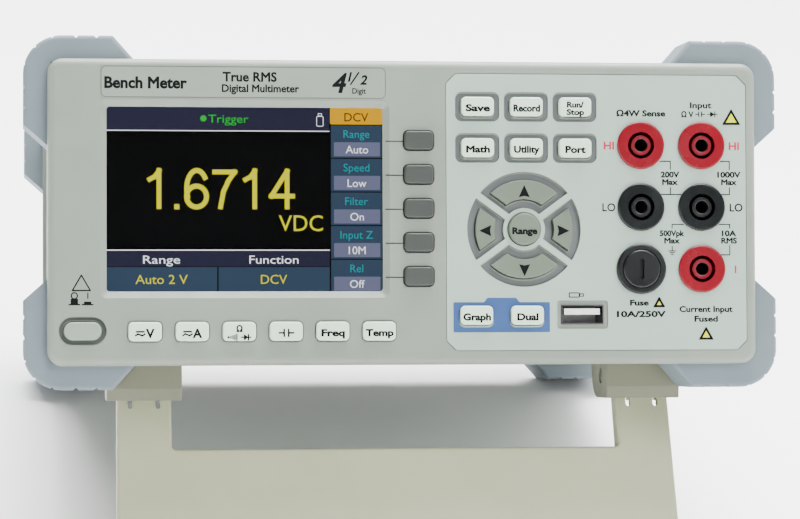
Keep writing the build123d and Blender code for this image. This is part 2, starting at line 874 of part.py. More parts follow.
def selector_box():
    """Open box behind the rear plate that the voltage selector slides in."""
    width, height = selector_window
    outer = Rectangle(width + 2 * selector_wall, height + 2 * selector_wall)
    box = slab(outer, selector_floor - selector_wall, rear_plate_front)
    box -= slab(Rectangle(width, height), selector_floor, rear_plate_front)
    return move(selector_x, selector_z, box)


def voltage_selector():
    """Slide knob of the mains voltage selector, with a ridge to push."""
    width, height = selector_slider
    slide = slab(Rectangle(width, height), selector_floor + part_gap, rear_face - 1.2)
    ridge = slab(Rectangle(selector_ridge, height), rear_face - 1.2, rear_face - 0.2)
    return move(selector_x - selector_travel / 2, selector_z, slide + ridge)


def corner_outline(overlap):
    """One bumper seen from the front, for the case's upper right corner."""
    x, z = panel_width / 2, panel_height / 2
    run = bumper_reach - bumper_slant
    out_x, out_z = x + bumper_height, z + bumper_height
    points = [
        (x - bumper_reach, z),
        (x - run, out_z),
        (out_x, out_z),
        (out_x, z - run),
        (x, z - bumper_reach),
        (x - overlap, z - bumper_reach),
        (x - overlap, z - overlap),
        (x - bumper_reach, z - overlap),
    ]
    shape = make_face(Polyline(*points, close=True))
    tip = shape.vertices().sort_by(lambda v: v.X + v.Y)[-1]
    shape = fillet(tip, bumper_radius)
    return shape - rounded(panel_width, panel_height, corner_radius)


def bumper_notches(front, back):
    """V grooves across a bumper's tread: two along each straight and three round the corner."""
    x, z = panel_width / 2 + bumper_height, panel_height / 2 + bumper_height
    groove = Rot(0, 0, 45) * Rectangle(notch_width / 2**0.5, notch_width / 2**0.5)
    cuts = []
    for i in (1, 2):
        along = bumper_radius - 2 + i * notch_pitch
        cuts.append(Pos(x - along, z + notch_width / 2 - notch_depth) * groove)
        cuts.append(Pos(x + notch_width / 2 - notch_depth, z - along) * groove)
    reach = bumper_radius + notch_width / 2 - arc_notch_depth
    for angle in notch_angles:
        turn = Rot(0, 0, angle) * Pos(reach, 0) * groove
        cuts.append(Pos(x - bumper_radius, z - bumper_radius) * turn)
    return [slab(cut, front - 1, back + 1) for cut in cuts]


def bumper_set(front, back):
    """Four rubber corner bumpers, one for each corner of the case."""
    solid = slab(corner_outline(corner_overlap), front, back)
    tread = [e for e in solid.edges().group_by(Axis.Y)[0] if beyond_case(e)]
    tread += [e for e in solid.edges().group_by(Axis.Y)[-1] if beyond_case(e)]
    solid = fillet(tread, bumper_edge)
    solid -= bumper_notches(front, back)
    top = [solid, mirror(solid, about=Plane.YZ)]
    return Compound(children=top + [mirror(piece, about=Plane.XY) for piece in top])


def beyond_case(edge):
    """True for the edges of a bumper's tread, which stands clear of the case."""
    middle = edge.center()
    clear = bumper_height / 2
    return middle.X > panel_width / 2 + clear or middle.Z > panel_height / 2 + clear


# ---------------------------------------------------------------- tilt stand
def bracket(side):
    """Hinge housing under the case, open below and behind, with a pin hole through its cheeks."""
    x = side * bracket_x
    back = bracket_front + bracket_depth
    body = tower(
        Pos(x, (bracket_front + back) / 2) * Rectangle(bracket_width, bracket_depth),
        bracket_bottom,
        cover_bottom,
    )
    low = body.edges().filter_by(Axis.X).group_by(Axis.Z)[0].sort_by(Axis.Y)
    body = fillet(low[-1], bracket_heel)
    front_edge = body.edges().filter_by(Axis.X).group_by(Axis.Z)[0].sort_by(Axis.Y)[0]
    face = body.faces().sort_by(Axis.Z)[0]
    body = chamfer(front_edge, *bracket_chamfer, reference=face)
    space = arm_width + 2 * arm_gap
    body -= block(
        (space, bracket_depth, bracket_roof - bracket_bottom + 1),
        (x, stop_y + bracket_depth / 2, (bracket_roof + bracket_bottom - 1) / 2),
    )
    hole = Pos(x, hinge_y, hinge_z) * Rot(0, 90, 0) * Cylinder(pin_radius + press_gap, bracket_width)
    body -= hole
    for step in (-spigot_step, spigot_step):
        centre = Pos(x, bracket_front + bracket_depth / 2 + step)
        body += tower(centre * Circle(spigot_radius), cover_bottom, floor_inside)
    return body


def stand_pins():
    """Steel hinge pins, one in each bracket."""
    length = bracket_width - 2 * pin_recess
    return Compound(
        children=[
            Pos(side * bracket_x, hinge_y, hinge_z) * Rot(0, 90, 0) * Cylinder(pin_radius, length)
            for side in (-1, 1)
        ]
    )


def stand_outline(inset=0.0):
    """Stand seen square on: X across, Y the distance from its hinge."""
    half = bracket_x + arm_width / 2 - inset
    inner = bracket_x - arm_width / 2 + inset
    foot = stand_length - inset
    notch = shoulder + inset
    points = [
        (half, 0),
        (half + foot_flare, foot),
        (-half - foot_flare, foot),
        (-half, 0),
        (-inner, 0),
        (-inner, notch),
        (inner, notch),
        (inner, 0),
    ]
    shape = make_face(Polyline(*points, close=True))
    feet = shape.vertices().group_by(Axis.Y)[-1]
    shape = fillet(feet, foot_corner - inset)
    corners = [v for v in shape.vertices() if abs(v.Y - notch) < 0.01]
    return fillet(corners, notch_corner + inset)


def tilt_stand():
    """Broad folding stand: a rimmed plate on two slotted arms. It is drawn folded, then opened."""
    outer_face = -barrel_radius
    plate = tower(stand_outline(), outer_face, outer_face + stand_rim)
    plate = fillet(plate.edges().group_by(Axis.Z)[0].filter_by(lambda e: e.center().Y > 1), 1.0)
    hollow = stand_outline(plate_thickness)
    hollow -= Pos(0, 0) * Rectangle(2 * panel_width, 2 * barrel_radius + 6)
    pocket = tower(hollow, outer_face + plate_thickness, outer_face + stand_rim)
    for x in (-bracket_x / 3, bracket_x / 3):
        rib = Pos(x, stand_length / 2) * Rectangle(stand_rib, stand_length)
        pocket -= tower(rib, outer_face, outer_face + rib_height)
    plate -= pocket
    for side in (-1, 1):
        plate += (
            Pos(side * bracket_x, 0, 0) * Rot(0, 90, 0) * Cylinder(barrel_radius, arm_width)
        )
    plate -= Rot(0, 90, 0) * Cylinder(pin_radius + running_gap, panel_width)
    slot_length = slot_end + barrel_radius + 1
    slot = Pos(0, slot_end - slot_length / 2) * SlotOverall(slot_length, slot_width, rotation=90)
    for side in (-1, 1):
        for step in (-slot_offset, slot_offset):
            plate -= tower(Pos(side * bracket_x + step, 0) * slot, -2 * stand_rim, 2 * stand_rim)
    opened = Pos(0, hinge_y, hinge_z) * Rot(-fold_angle, 0, 0) * plate
    return opened - below_ground()


def below_ground():
    """Everything under the surface that the opened meter stands on, in the meter's frame."""
    size = 3 * body_length
    return Rot(tilt, 0, 0) * block((size, size, size), (0, 0, ground - size / 2))


# ---------------------------------------------------------------- inside
def main_board():
    """Main circuit board on the bottom cover's posts, cut away round the transformer."""
    width, length = main_board_width, main_board_length
    middle = main_board_front + length / 2
    board = Pos(0, middle) * Rectangle(width, length)
    coil_right = transformer_x + transformer_size[0] / 2 + main_board_margin
    coil_depth = transformer_size[1] + 2 * main_board_margin
    board -= Pos((coil_right - width) / 2, transformer_y) * Rectangle(coil_right + width, coil_depth)
    switch_back = power_stem_end + switch_gap + switch_size[1] + switch_lug[1] + main_board_margin
    switch_right = power_x + switch_size[0] / 2 + main_board_margin
    board -= Pos((switch_right - width) / 2, switch_back / 2) * Rectangle(
        switch_right + width, switch_back
    )
    boss_inside = screw_x - boss_width / 2 - main_board_margin
    boss_front = cover_back - screw_length - main_board_margin
    for side in (-1, 1):
        board -= Pos(side * (boss_inside + width / 2), boss_front + length / 2) * Rectangle(
            width, length
        )
    parts = tower(board, board_bottom, board_top)
    for chip_width, chip_depth, chip_height, x, y in (*chips, (*driver_size, driver_x, driver_y)):
        chip = Pos(x, y) * Rectangle(chip_width, chip_depth)
        parts += tower(chip, board_top, board_top + chip_height)
    for i in range(capacitor_count):
        can = Pos(capacitor_x + i * capacitor_pitch, capacitor_y) * Circle(capacitor_radius)
        parts += tower(can, board_top, board_top + capacitor_height)
    return parts


def transformer():
    """Mains transformer: a stack of laminations round a wound bobbin, on two feet."""
    width, depth, height = transformer_size
    centre = (transformer_x, transformer_y, floor_inside + height / 2)
    core = block((width, core_depth, height), centre)
    coil = block(coil_size, centre)
    coil = fillet(coil.edges().filter_by(Axis.Z), coil_corner)
    strap = Pos(transformer_x, transformer_y) * Rectangle(width, depth)
    return core + coil + tower(strap, floor_inside, floor_inside + strap_thickness)


def shield_can():
    """Folded screen over the measuring circuits, open to the board below."""
    width, depth, height = can_size
    outer = block(can_size, (can_x, can_y, board_top + height / 2))
    inner = block(
        (width - 2 * can_wall, depth - 2 * can_wall, height),
        (can_x, can_y, board_top + height / 2 - can_wall),
    )
    return outer - inner


# ---------------------------------------------------------------- rear sockets
def socket_z(size):
    """Height of the middle of a socket that sits on the main board."""
    return board_top + size[1] / 2


def serial_z():
    return board_top + serial_z_above_board


def ac_inlet():
    """Mains inlet with three blades, over the pocket of its fuse drawer."""
    width, height, thickness = inlet_flange
    body_width, body_depth, body_height = inlet_body
    flange = rounded(width, height, 3)
    back = rear_face + thickness
    inlet = slab(flange, rear_face, back)
    inlet += slab(Rectangle(body_width, body_height), rear_face - body_depth, rear_face)
    mouth = chamfer(
        Rectangle(*inlet_mouth).vertices().group_by(Axis.Y)[-1], inlet_mouth[1] / 3
    )
    inlet -= slab(place(0, inlet_mouth_z, mouth), back - inlet_mouth_depth, back)
    blade = Rectangle(inlet_blade[0], inlet_blade[1])
    start = back - inlet_mouth_depth
    for x, z in inlet_blades:
        inlet += slab(place(x, inlet_mouth_z + z, blade), start, start + inlet_blade[2])
    pocket = Rectangle(drawer_size[0] + 2 * drawer_gap, drawer_size[1] + 2 * drawer_gap)
    inlet -= slab(place(0, drawer_z, pocket), back - drawer_size[2] - drawer_gap, back)
    radius, rise, from_end = inlet_screw
    head = slab(Circle(radius), back, back + rise)
    head = fillet(head.edges().group_by(Axis.Y)[-1], rise / 2)
    for side in (-1, 1):
        inlet += move(side * (width / 2 - from_end), 0, head)
    return move(inlet_x, inlet_z, inlet)


def mains_fuse_drawer():
    """Small drawer that holds the mains fuse, with a finger notch in its face."""
    width, height, length = drawer_size
    back = rear_face + inlet_flange[2]
    drawer = slab(Rectangle(width, height), back - length, back + drawer_lip)
    tray = slab(place(0, 1, Rectangle(width - 3, height - 2)), back - length + 2, back - 2)
    drawer -= tray
    notch = place(0, height / 2, SlotOverall(*drawer_notch))
    drawer -= slab(notch, back - 1.2, back + drawer_lip)
    return move(inlet_x, inlet_z + drawer_z, drawer)


def data_socket(x, size, mouth, tongue):
    """Metal-shelled board socket with its mouth towards the back."""
    width, height, depth = size
    back = rear_face + socket_proud
    shell = slab(Rectangle(width, height), back - depth, back)
    shell -= slab(Rectangle(mouth[0], mouth[1]), back - mouth[2], back)
    if tongue:
        shell += slab(Rectangle(*tongue), back - mouth[2], back - 1.5)
    return move(x, socket_z(size), shell)


def data_sockets():
    """Network socket and square printer-type socket, side by side on the main board."""
    network = data_socket(lan_x, lan_size, lan_mouth, None)
    device = data_socket(type_b_x, type_b_size, type_b_mouth, type_b_tongue)
    return Compound(children=[network, device])


def serial_socket():
    """Nine-pin serial socket: D-shaped shell on a flange, with jack posts at its ends."""
    width, height, thickness = serial_flange
    shell_width, shell_height, shell_depth = serial_shell
    back = rear_face + thickness
    d_shape = rounded(shell_width, shell_height, 2)
    socket = slab(rounded(width, height, 2), rear_face, back)
    socket += slab(d_shape, back, back + shell_depth)
    wall = 2 * serial_wall
    mouth = rounded(shell_width - wall, shell_height - wall, 2 - serial_wall)
    socket -= slab(mouth, back + serial_wall, back + shell_depth)
    socket += slab(d_shape, rear_face - serial_block, rear_face)
    pin = slab(Circle(serial_pin_radius), back, back + shell_depth - 1)
    for row, count in enumerate((5, 4)):
        z = (0.5 - row) * serial_row_pitch
        for i in range(count):
            socket += move((i - (count - 1) / 2) * serial_pin_pitch, z, pin)
    radius, post_length = serial_post
    post = slab(RegularPolygon(radius, 6), back, back + post_length)
    for side in (-1, 1):
        socket += move(side * width * 0.4, 0, post)
    return move(serial_x, serial_z(), socket)


def bnc_connector(x):
    """Coaxial connector: flange, bayonet barrel with two lugs, and a centre contact."""
    back = rear_face + bnc_flange_thickness
    end = back + bnc_length
    floor = back + bnc_bore_floor
    body = slab(Circle(bnc_flange_radius), rear_face, back)
    body += slab(Circle(bnc_radius), rear_face - bnc_tail, end)
    body -= slab(Circle(bnc_bore_radius), floor, end)
    body += slab(Circle(bnc_contact_radius), floor, end - 2 * bnc_contact_radius)
    lug = Pos(0, end - 4 * bnc_lug_radius, 0) * Cylinder(bnc_lug_radius, 2 * bnc_radius + 2)
    ends = lug - slab(Circle(bnc_radius - part_gap), back, end)
    return move(x, bnc_z, body + ends)


def trigger_connectors():
    return Compound(children=[bnc_connector(bnc_x + i * bnc_pitch) for i in (0, 1)])


def case_screws():
    """Four pan-head screws that hold the rear frame to the covers."""
    radius, height = screw_head
    head = slab(Circle(radius), rear_face, rear_face + height)
    head = fillet(head.edges().group_by(Axis.Y)[-1], height / 2)
    for angle in (0, 90):
        cross = Rot(0, 0, angle) * Rectangle(*screw_cross)
        head -= slab(cross, rear_face + height / 2, rear_face + height)
    shank_end = cover_back - screw_length + 2
    screw = head + slab(Circle(screw_radius), shank_end, rear_face)
    return Compound(
        children=[
            move(side * screw_x, up * screw_z, screw) for side in (-1, 1) for up in (-1, 1)
        ]
    )


# ---------------------------------------------------------------- all pieces, meter level
red_jacks = ("sense_hi", "input_hi", "current")
black_jacks = ("sense_lo", "input_lo")
pieces = {
    "front_bezel": front_bezel(),
    "terminal_overlay": terminal_overlay(),
    "display_window": display_window(),
    "lcd_module": lcd_module(),
    "keypad_mat": keypad_mat(),
    "key_board": key_board(),
    "range_key": range_key(),
    "power_button": power_button(),
    "power_switch": power_switch(),
    "red_jacks": Compound(children=[move(*jacks[name], jack_body()) for name in red_jacks]),
    "black_jacks": Compound(children=[move(*jacks[name], jack_body()) for name in black_jacks]),
    "jack_contacts": Compound(children=[move(x, z, jack_contact()) for x, z in jacks.values()]),
    "fuse_holder": move(*fuse_place, fuse_holder()),
    "fuse_cap": move(*fuse_place, fuse_cap()),
    "fuse_carrier": move(*fuse_place, fuse_carrier()),
    "fuse_link": move(*fuse_place, fuse_link()),
    "usb_socket": usb_socket(),
    "usb_tongue": usb_tongue(),
    "top_cover": top_cover(),
    "bottom_cover": bottom_cover(),
    "rear_panel": rear_panel(),
    "front_bumpers": bumper_set(bumper_front, bumper_front + bumper_depth),
    "rear_bumpers": bumper_set(bumper_back - rear_bumper_depth, bumper_back),
    "hinge_brackets": Compound(children=[bracket(-1), bracket(1)]),
    "stand_pins": stand_pins(),
    "tilt_stand": tilt_stand(),
    "main_board": main_board(),
    "transformer": transformer(),
    "shield_can": shield_can(),
    "ac_inlet": ac_inlet(),
    "mains_fuse_drawer": mains_fuse_drawer(),
    "voltage_selector": voltage_selector(),
    "data_sockets": data_sockets(),
    "serial_socket": serial_socket(),
    "trigger_connectors": trigger_connectors(),
    "case_screws": case_screws(),
}
for name in rows_of_keys:
    pieces[name] = push_key(cap_outline(name), cap_outline(name, flange_margin))
for name in arrow_names:
    pieces[f"{name}_key"] = arrow_key(name)

# ---------------------------------------------------------------- stand it on its stand
leaned = {name: Rot(-tilt, 0, 0) * piece for name, piece in pieces.items()}
boxes = [piece.bounding_box() for piece in leaned.values()]
front_most = min(box.min.Y for box in boxes)
back_most = max(box.max.Y for box in boxes)
set_down = Pos(0, -(front_most + back_most) / 2, -ground)

os.makedirs("parts", exist_ok=True)
for name, piece in leaned.items():
    export_step(set_down * piece, os.path.join("parts", f"{name}.step"))
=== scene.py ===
"""Looks of a half-rack bench multimeter on its tilt stand, laid out as a Blender add-on.

Sizes in the drawing functions are millimetres on the meter's own panel: u to the right, v upwards and
w out of the panel, from the middle of its flat face. The last step of each piece turns them into
metres in the frame's own axes.
"""
import json
import math

import bmesh
import bpy
from bpy.props import FloatProperty, FloatVectorProperty, PointerProperty
from mathutils import Matrix, Vector


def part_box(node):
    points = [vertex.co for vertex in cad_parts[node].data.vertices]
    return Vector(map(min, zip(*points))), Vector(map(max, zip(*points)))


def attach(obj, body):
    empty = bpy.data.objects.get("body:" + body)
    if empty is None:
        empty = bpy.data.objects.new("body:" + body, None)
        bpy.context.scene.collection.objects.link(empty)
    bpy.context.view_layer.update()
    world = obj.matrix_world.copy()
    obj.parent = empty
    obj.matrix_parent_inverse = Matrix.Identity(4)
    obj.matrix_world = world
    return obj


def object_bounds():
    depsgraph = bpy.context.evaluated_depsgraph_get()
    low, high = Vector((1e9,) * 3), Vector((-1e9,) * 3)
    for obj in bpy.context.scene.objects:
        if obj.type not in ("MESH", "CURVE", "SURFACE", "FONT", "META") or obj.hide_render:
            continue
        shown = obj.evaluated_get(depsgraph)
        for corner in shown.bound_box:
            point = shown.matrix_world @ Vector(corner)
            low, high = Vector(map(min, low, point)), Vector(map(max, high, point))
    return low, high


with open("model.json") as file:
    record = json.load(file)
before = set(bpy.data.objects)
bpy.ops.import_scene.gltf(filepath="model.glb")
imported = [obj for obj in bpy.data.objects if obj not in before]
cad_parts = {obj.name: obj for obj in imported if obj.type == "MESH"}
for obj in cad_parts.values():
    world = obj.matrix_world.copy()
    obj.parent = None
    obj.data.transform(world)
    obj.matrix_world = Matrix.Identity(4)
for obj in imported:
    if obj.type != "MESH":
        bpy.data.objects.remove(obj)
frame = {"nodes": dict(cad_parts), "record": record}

bl_info = {
    "name": "Bench Multimeter",
    "version": (1, 0, 0),
    "blender": (4, 5, 0),
    "location": "View3D > Sidebar > Multimeter",
    "description": "Finishes, display, legends and studio of a bench multimeter",
    "category": "Object",
}

CAD_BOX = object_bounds()
RECORD = frame["record"]
MM = 0.001

# ---------------------------------------------------------------- where the panel is
JACK_AT = Vector((72.675, 11.1, 20.81))  # middle of the upper sense jack's bore, X, depth, height
REAR_FACE = 278.0  # depth of the rear plate's outer face
KEY_FRONT = 1.5  # keys stand this far out of the panel
ARROW_FRONT = 0.6
SOFT_PITCH = 10.39
JACK_PITCH = 19.05


def mount(name):
    return next(item for item in RECORD["mounts"] if item["name"] == name)


OUTWARD = Vector(mount("sense_hi_jack")["axis"])
LEAN = Matrix.Rotation(-math.atan2(OUTWARD.z, -OUTWARD.y), 4, "X")
ORIGIN = Vector(mount("sense_hi_jack")["pos_m"]) - LEAN @ (JACK_AT * MM)
PANEL = Matrix.Translation(ORIGIN) @ LEAN
FRONT = PANEL @ Matrix.Rotation(math.pi / 2, 4, "X") @ Matrix.Scale(MM, 4)
REAR = (
    PANEL
    @ Matrix.Translation((0, REAR_FACE * MM, 0))
    @ Matrix.Rotation(math.pi, 4, "Z")
    @ Matrix.Rotation(math.pi / 2, 4, "X")
    @ Matrix.Scale(MM, 4)
)


def centre_of(node):
    """Middle of a CAD node, seen square on to the panel: u and v in millimetres."""
    low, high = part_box(node)
    spot = FRONT.inverted() @ ((low + high) / 2)
    return spot.x, spot.y


def centre_of_jack(name):
    spot = FRONT.inverted() @ Vector(mount(name + "_jack")["pos_m"])
    return spot.x, spot.y


def colour(red, green, blue):
    """Linear colour of a paint given as 0 to 255 display values."""
    return tuple(((c / 255 + 0.055) / 1.055) ** 2.4 if c > 10 else c / 3294 for c in (red, green, blue))


# ---------------------------------------------------------------- what a user may change
def paint(name, description, red, green, blue):
    return FloatVectorProperty(
        name=name,
        description=description,
        subtype="COLOR",
        size=3,
        min=0,
        max=1,
        default=colour(red, green, blue),
    )


def length(name, description, value):
    return FloatProperty(
        name=name, description=description, default=value * MM, unit="LENGTH", subtype="DISTANCE", min=0
    )


class MeterPaints(bpy.types.PropertyGroup):
    """Colours of the meter's plastics, rubber, paint and print, and the painted shade laid in the key wells
    """

    bezel: paint("Bezel", "Moulded front and rear frames", 112, 120, 110)
    overlay: paint("Overlay", "Label sheet behind the jacks and keys", 141, 159, 147)
    # painted shade: the key wells' film is darker than the bezel to stand for the shade round the upper keys
    well: paint("Key wells", "Sunk fields round the upper keys", 65, 71, 71)
    pocket: paint("Pad pockets", "Sunk quarters round the arrow keys", 81, 87, 87)
    key: paint("Keys", "Light key caps", 190, 210, 191)
    soft_key: paint("Soft keys", "Dark caps beside the display", 36, 41, 37)
    arrow_key: paint("Arrow keys", "Caps of the arrow pad", 81, 92, 79)
    rubber: paint("Bumpers", "Rubber corners", 92, 104, 110)
    cover: paint("Covers", "Powder coat of the sheet-metal case", 138, 147, 138)
    stand: paint("Stand", "Folding stand and its brackets", 152, 155, 126)
    jack_red: paint("Red jacks", "Insulators of the high terminals", 105, 4, 20)
    jack_black: paint("Black jacks", "Insulators of the low terminals", 13, 16, 17)
    print_dark: paint("Dark print", "Legends on the panel and keys", 14, 15, 16)
    print_red: paint("Red print", "Legends of the high terminals", 165, 20, 52)
    zone: paint("Blue field", "Printed field round the graph and dual keys", 29, 64, 114)
    caution: paint("Yellow", "Filled triangles beside the jacks", 190, 196, 0)


class MeterGlow(bpy.types.PropertyGroup):
    """Colours that the display shows"""

    bar: paint("Header", "Header and caption rows", 46, 45, 68)
    side: paint("Menu", "Menu column and value row", 58, 76, 98)
    box: paint("Value boxes", "Boxes of the menu's values", 116, 120, 150)
    tab: paint("Tab", "Tab of the chosen function", 255, 186, 0)
    reading: paint("Reading", "Digits of the reading", 246, 240, 0)
    caption: paint("Captions", "White captions and lines", 236, 238, 240)
    teal: paint("Menu names", "Names in the menu column", 0, 171, 180)
    ready: paint("Trigger", "Trigger lamp and word", 0, 206, 50)
    strength: FloatProperty(name="Brightness", description="Strength of the backlight", default=1.0, min=0)


class MeterSizes(bpy.types.PropertyGroup):
    """Sizes of the print and of the studio"""

    print_depth: length("Print", "Thickness of printed legends", 0.05)
    film_depth: length("Film", "Thickness of films and name plates", 0.12)
    line: length("Line", "Width of thin printed lines", 0.3)
    lens: FloatProperty(name="Lens", description="Focal length on a 36 mm wide sensor", default=135.0, min=1)
    floor: length("Floor", "Width of the studio floor", 9000.0)


def paints():
    return bpy.context.scene.meter_paints


def sizes():
    return bpy.context.scene.meter_sizes


# ---------------------------------------------------------------- drawing in millimetres
LETTER_RATIO = 0.729  # height of a capital over the size of the text
SUNK = 0.02  # print and films reach this far into what they lie on


def merge(target, part):
    """Adds one bmesh to another, and frees the one that was added."""
    carrier = bpy.data.meshes.new("carrier")
    part.to_mesh(carrier)
    part.free()
    target.from_mesh(carrier)
    bpy.data.meshes.remove(carrier)


class Drawing:
    """One piece, drawn flat in millimetres and kept in a bmesh until it is finished."""

    def __init__(self, low=0.0, high=None):
        self.mesh = bmesh.new()
        self.low = low - SUNK
        self.high = low + sizes().print_depth / MM if high is None else high

    def keep(self, part, matrix=None):
        """Joins a part to the piece."""
        if matrix is not None:
            bmesh.ops.transform(part, matrix=matrix, verts=part.verts)
        merge(self.mesh, part)

    def raised(self, part):
        """Turns a part's flat faces into a closed slab between the piece's two levels."""
        bmesh.ops.translate(part, verts=part.verts, vec=(0, 0, self.low))
        grown = bmesh.ops.extrude_face_region(part, geom=part.faces[:], use_keep_orig=True)
        top = [item for item in grown["geom"] if isinstance(item, bmesh.types.BMVert)]
        bmesh.ops.translate(part, verts=top, vec=(0, 0, self.high - self.low))
        bmesh.ops.recalc_face_normals(part, faces=part.faces)
        self.keep(part)

    def tile(self, u, v, width, height, corner=0.0):
        self.raised(tile_face(u, v, width, height, corner))

    def shape(self, *points):
        self.raised(shape_face(points))

    def disc(self, u, v, radius):
        self.raised(disc_face(u, v, radius))

    def framed(self, part, line):
        """Keeps only a band of the given width inside a part's outline."""
        bmesh.ops.inset_region(
            part, faces=part.faces[:], thickness=line, use_boundary=True, use_even_offset=True
        )
        inner = max(part.faces, key=lambda face: len(face.verts))
        bmesh.ops.delete(part, geom=[inner], context="FACES_ONLY")
        self.raised(part)

    def ring(self, u, v, radius, line):
        self.framed(disc_face(u, v, radius), line)

    def bar(self, start, end, width):
        start, end = Vector((*start, 0)), Vector((*end, 0))
        run = end - start
        part = bmesh.new()
        matrix = (
            Matrix.Translation((start + end) / 2 + Vector((0, 0, (self.low + self.high) / 2)))
            @ Matrix.Rotation(math.atan2(run.y, run.x), 4, "Z")
            @ Matrix.Diagonal((run.length, width, self.high - self.low, 1))
        )
        bmesh.ops.create_cube(part, size=1.0, matrix=matrix)
        self.keep(part)

    def path(self, points, width):
        """A run of bars, each lengthened by half its width so that corners close."""
        for start, end in zip(points, points[1:]):
            step = Vector((end[0] - start[0], end[1] - start[1])).normalized() * width / 2
            self.bar((start[0] - step.x, start[1] - step.y), (end[0] + step.x, end[1] + step.y), width)

    def pierced(self, outline, holes):
        """A film of one outline with holes in it, each given as a part with one face."""
        for hole in holes:
            merge(outline, hole)
        bmesh.ops.delete(outline, geom=outline.faces[:], context="FACES_ONLY")
        bmesh.ops.triangle_fill(outline, use_beauty=True, use_dissolve=False, edges=outline.edges)
        self.raised(outline)

    def words(self, text, u, v, cap, width=None, weight=0.0, slant=0.0):
        """Lettering whose capitals are cap high, centred on (u, v) and fitted to a width."""
        font = bpy.data.curves.new("lettering", "FONT")
        font.body = text
        font.size = cap / LETTER_RATIO
        font.bevel_depth = weight
        font.bevel_resolution = 0
        font.shear = slant
        font.resolution_u = 3
        font.extrude = (self.high - self.low) / 2
        carrier = bpy.data.objects.new("lettering", font)
        bpy.context.scene.collection.objects.link(carrier)
        bpy.context.view_layer.update()
        ready = carrier.evaluated_get(bpy.context.evaluated_depsgraph_get())
        letters = bpy.data.meshes.new_from_object(ready)
        bpy.data.objects.remove(carrier)
        bpy.data.curves.remove(font)
        if not letters.vertices:
            raise RuntimeError(f"the lettering {text!r} came out empty")
        left = min(vertex.co.x for vertex in letters.vertices)
        right = max(vertex.co.x for vertex in letters.vertices)
        stretch = width / (right - left) if width else 1.0
        letters.transform(Matrix.Translation((-(left + right) / 2, -cap / 2, 0)))
        flat = 0.5 * (self.high - self.low) / max(vertex.co.z for vertex in letters.vertices)
        letters.transform(Matrix.Diagonal((stretch, 1, flat, 1)))
        letters.transform(Matrix.Translation((u, v, (self.low + self.high) / 2)))
        self.mesh.from_mesh(letters)
        bpy.data.meshes.remove(letters)

    def finish(self, name, material, slot, body="case", side=FRONT):
        """Closes the piece: its place goes into its mesh, and it rides on its body."""
        bmesh.ops.remove_doubles(self.mesh, verts=self.mesh.verts, dist=0.0005)
        bmesh.ops.recalc_face_normals(self.mesh, faces=self.mesh.faces)
        bmesh.ops.transform(self.mesh, matrix=side, verts=self.mesh.verts)
        mesh = bpy.data.meshes.new(name)
        self.mesh.to_mesh(mesh)
        self.mesh.free()
        mesh.materials.append(material)
        piece = bpy.data.objects.new(name, mesh)
        bpy.context.scene.collection.objects.link(piece)
        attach(piece, body)
        return piece


# each of these makes a part that is one flat face
def tile_face(u, v, width, height, corner=0.0):
    """A rectangle with rounded corners."""
    part = bmesh.new()
    place = Matrix.Translation((u, v, 0)) @ Matrix.Diagonal((width, height, 1, 1))
    bmesh.ops.create_grid(part, x_segments=1, y_segments=1, size=0.5, matrix=place)
    round_corners(part, corner)
    return part


def disc_face(u, v, radius):
    part = bmesh.new()
    place = Matrix.Translation((u, v, 0))
    bmesh.ops.create_circle(part, cap_ends=True, radius=radius, segments=32, matrix=place)
    return part


def shape_face(points, corner=0.0):
    """A face through a few corner points."""
    part = bmesh.new()
    part.faces.new([part.verts.new((u, v, 0)) for u, v in points])
    round_corners(part, corner)
    return part


def round_corners(part, corner):
    if corner:
        bmesh.ops.bevel(
            part,
            geom=part.verts[:],
            offset=corner,
            offset_type="OFFSET",
            affect="VERTICES",
            segments=5,
            profile=0.5,
            material=-1,
        )


def quarter_face(u, v, outer, inner, gap, turn):
    """One quarter of a ring between two crossing spokes; turn is the way that it looks."""
    part = bmesh.new()
    for radius in (outer, inner):
        bmesh.ops.create_circle(part, cap_ends=False, radius=radius, segments=96)
    bmesh.ops.bridge_loops(part, edges=part.edges[:])
    upright = abs(math.sin(turn)) > 0.5
    half = math.pi / 2 - SPOKE_ANGLE if upright else SPOKE_ANGLE
    for side in (-1, 1):
        edge = turn + side * half
        normal = Vector((math.sin(edge), -math.cos(edge), 0)) * side
        bmesh.ops.bisect_plane(
            part,
            geom=part.verts[:] + part.edges[:] + part.faces[:],
            plane_co=normal * gap / 2,
            plane_no=normal,
            clear_inner=True,
        )
    bmesh.ops.dissolve_faces(part, faces=part.faces[:])
    bmesh.ops.translate(part, verts=part.verts, vec=(u, v, 0))
    return part


# ---------------------------------------------------------------- finishes
def shader_of(name):
    material = bpy.data.materials.new(name)
    material.use_nodes = True
    return material, material.node_tree, material.node_tree.nodes["Principled BSDF"]


def own_place(tree):
    """Coordinates of the surface in the meter's frame, in metres."""
    return tree.nodes.new("ShaderNodeTexCoord").outputs["Object"]


def noise(tree, scale, detail=3.0, stretch=None):
    """Noise on the object's own coordinates, in features per metre."""
    place = own_place(tree)
    if stretch:
        mapping = tree.nodes.new("ShaderNodeMapping")
        mapping.inputs["Scale"].default_value = stretch
        tree.links.new(place, mapping.inputs["Vector"])
        place = mapping.outputs["Vector"]
    node = tree.nodes.new("ShaderNodeTexNoise")
    node.inputs["Scale"].default_value = scale
    node.inputs["Detail"].default_value = detail
    tree.links.new(place, node.inputs["Vector"])
    return node.outputs["Fac"]


def spread(tree, source, low, high, start=0.35, end=0.65):
    """Maps a pattern onto a range of values."""
    node = tree.nodes.new("ShaderNodeMapRange")
    node.inputs["From Min"].default_value = start
    node.inputs["From Max"].default_value = end
    node.inputs["To Min"].default_value = low
    node.inputs["To Max"].default_value = high
    tree.links.new(source, node.inputs["Value"])
    return node.outputs["Result"]


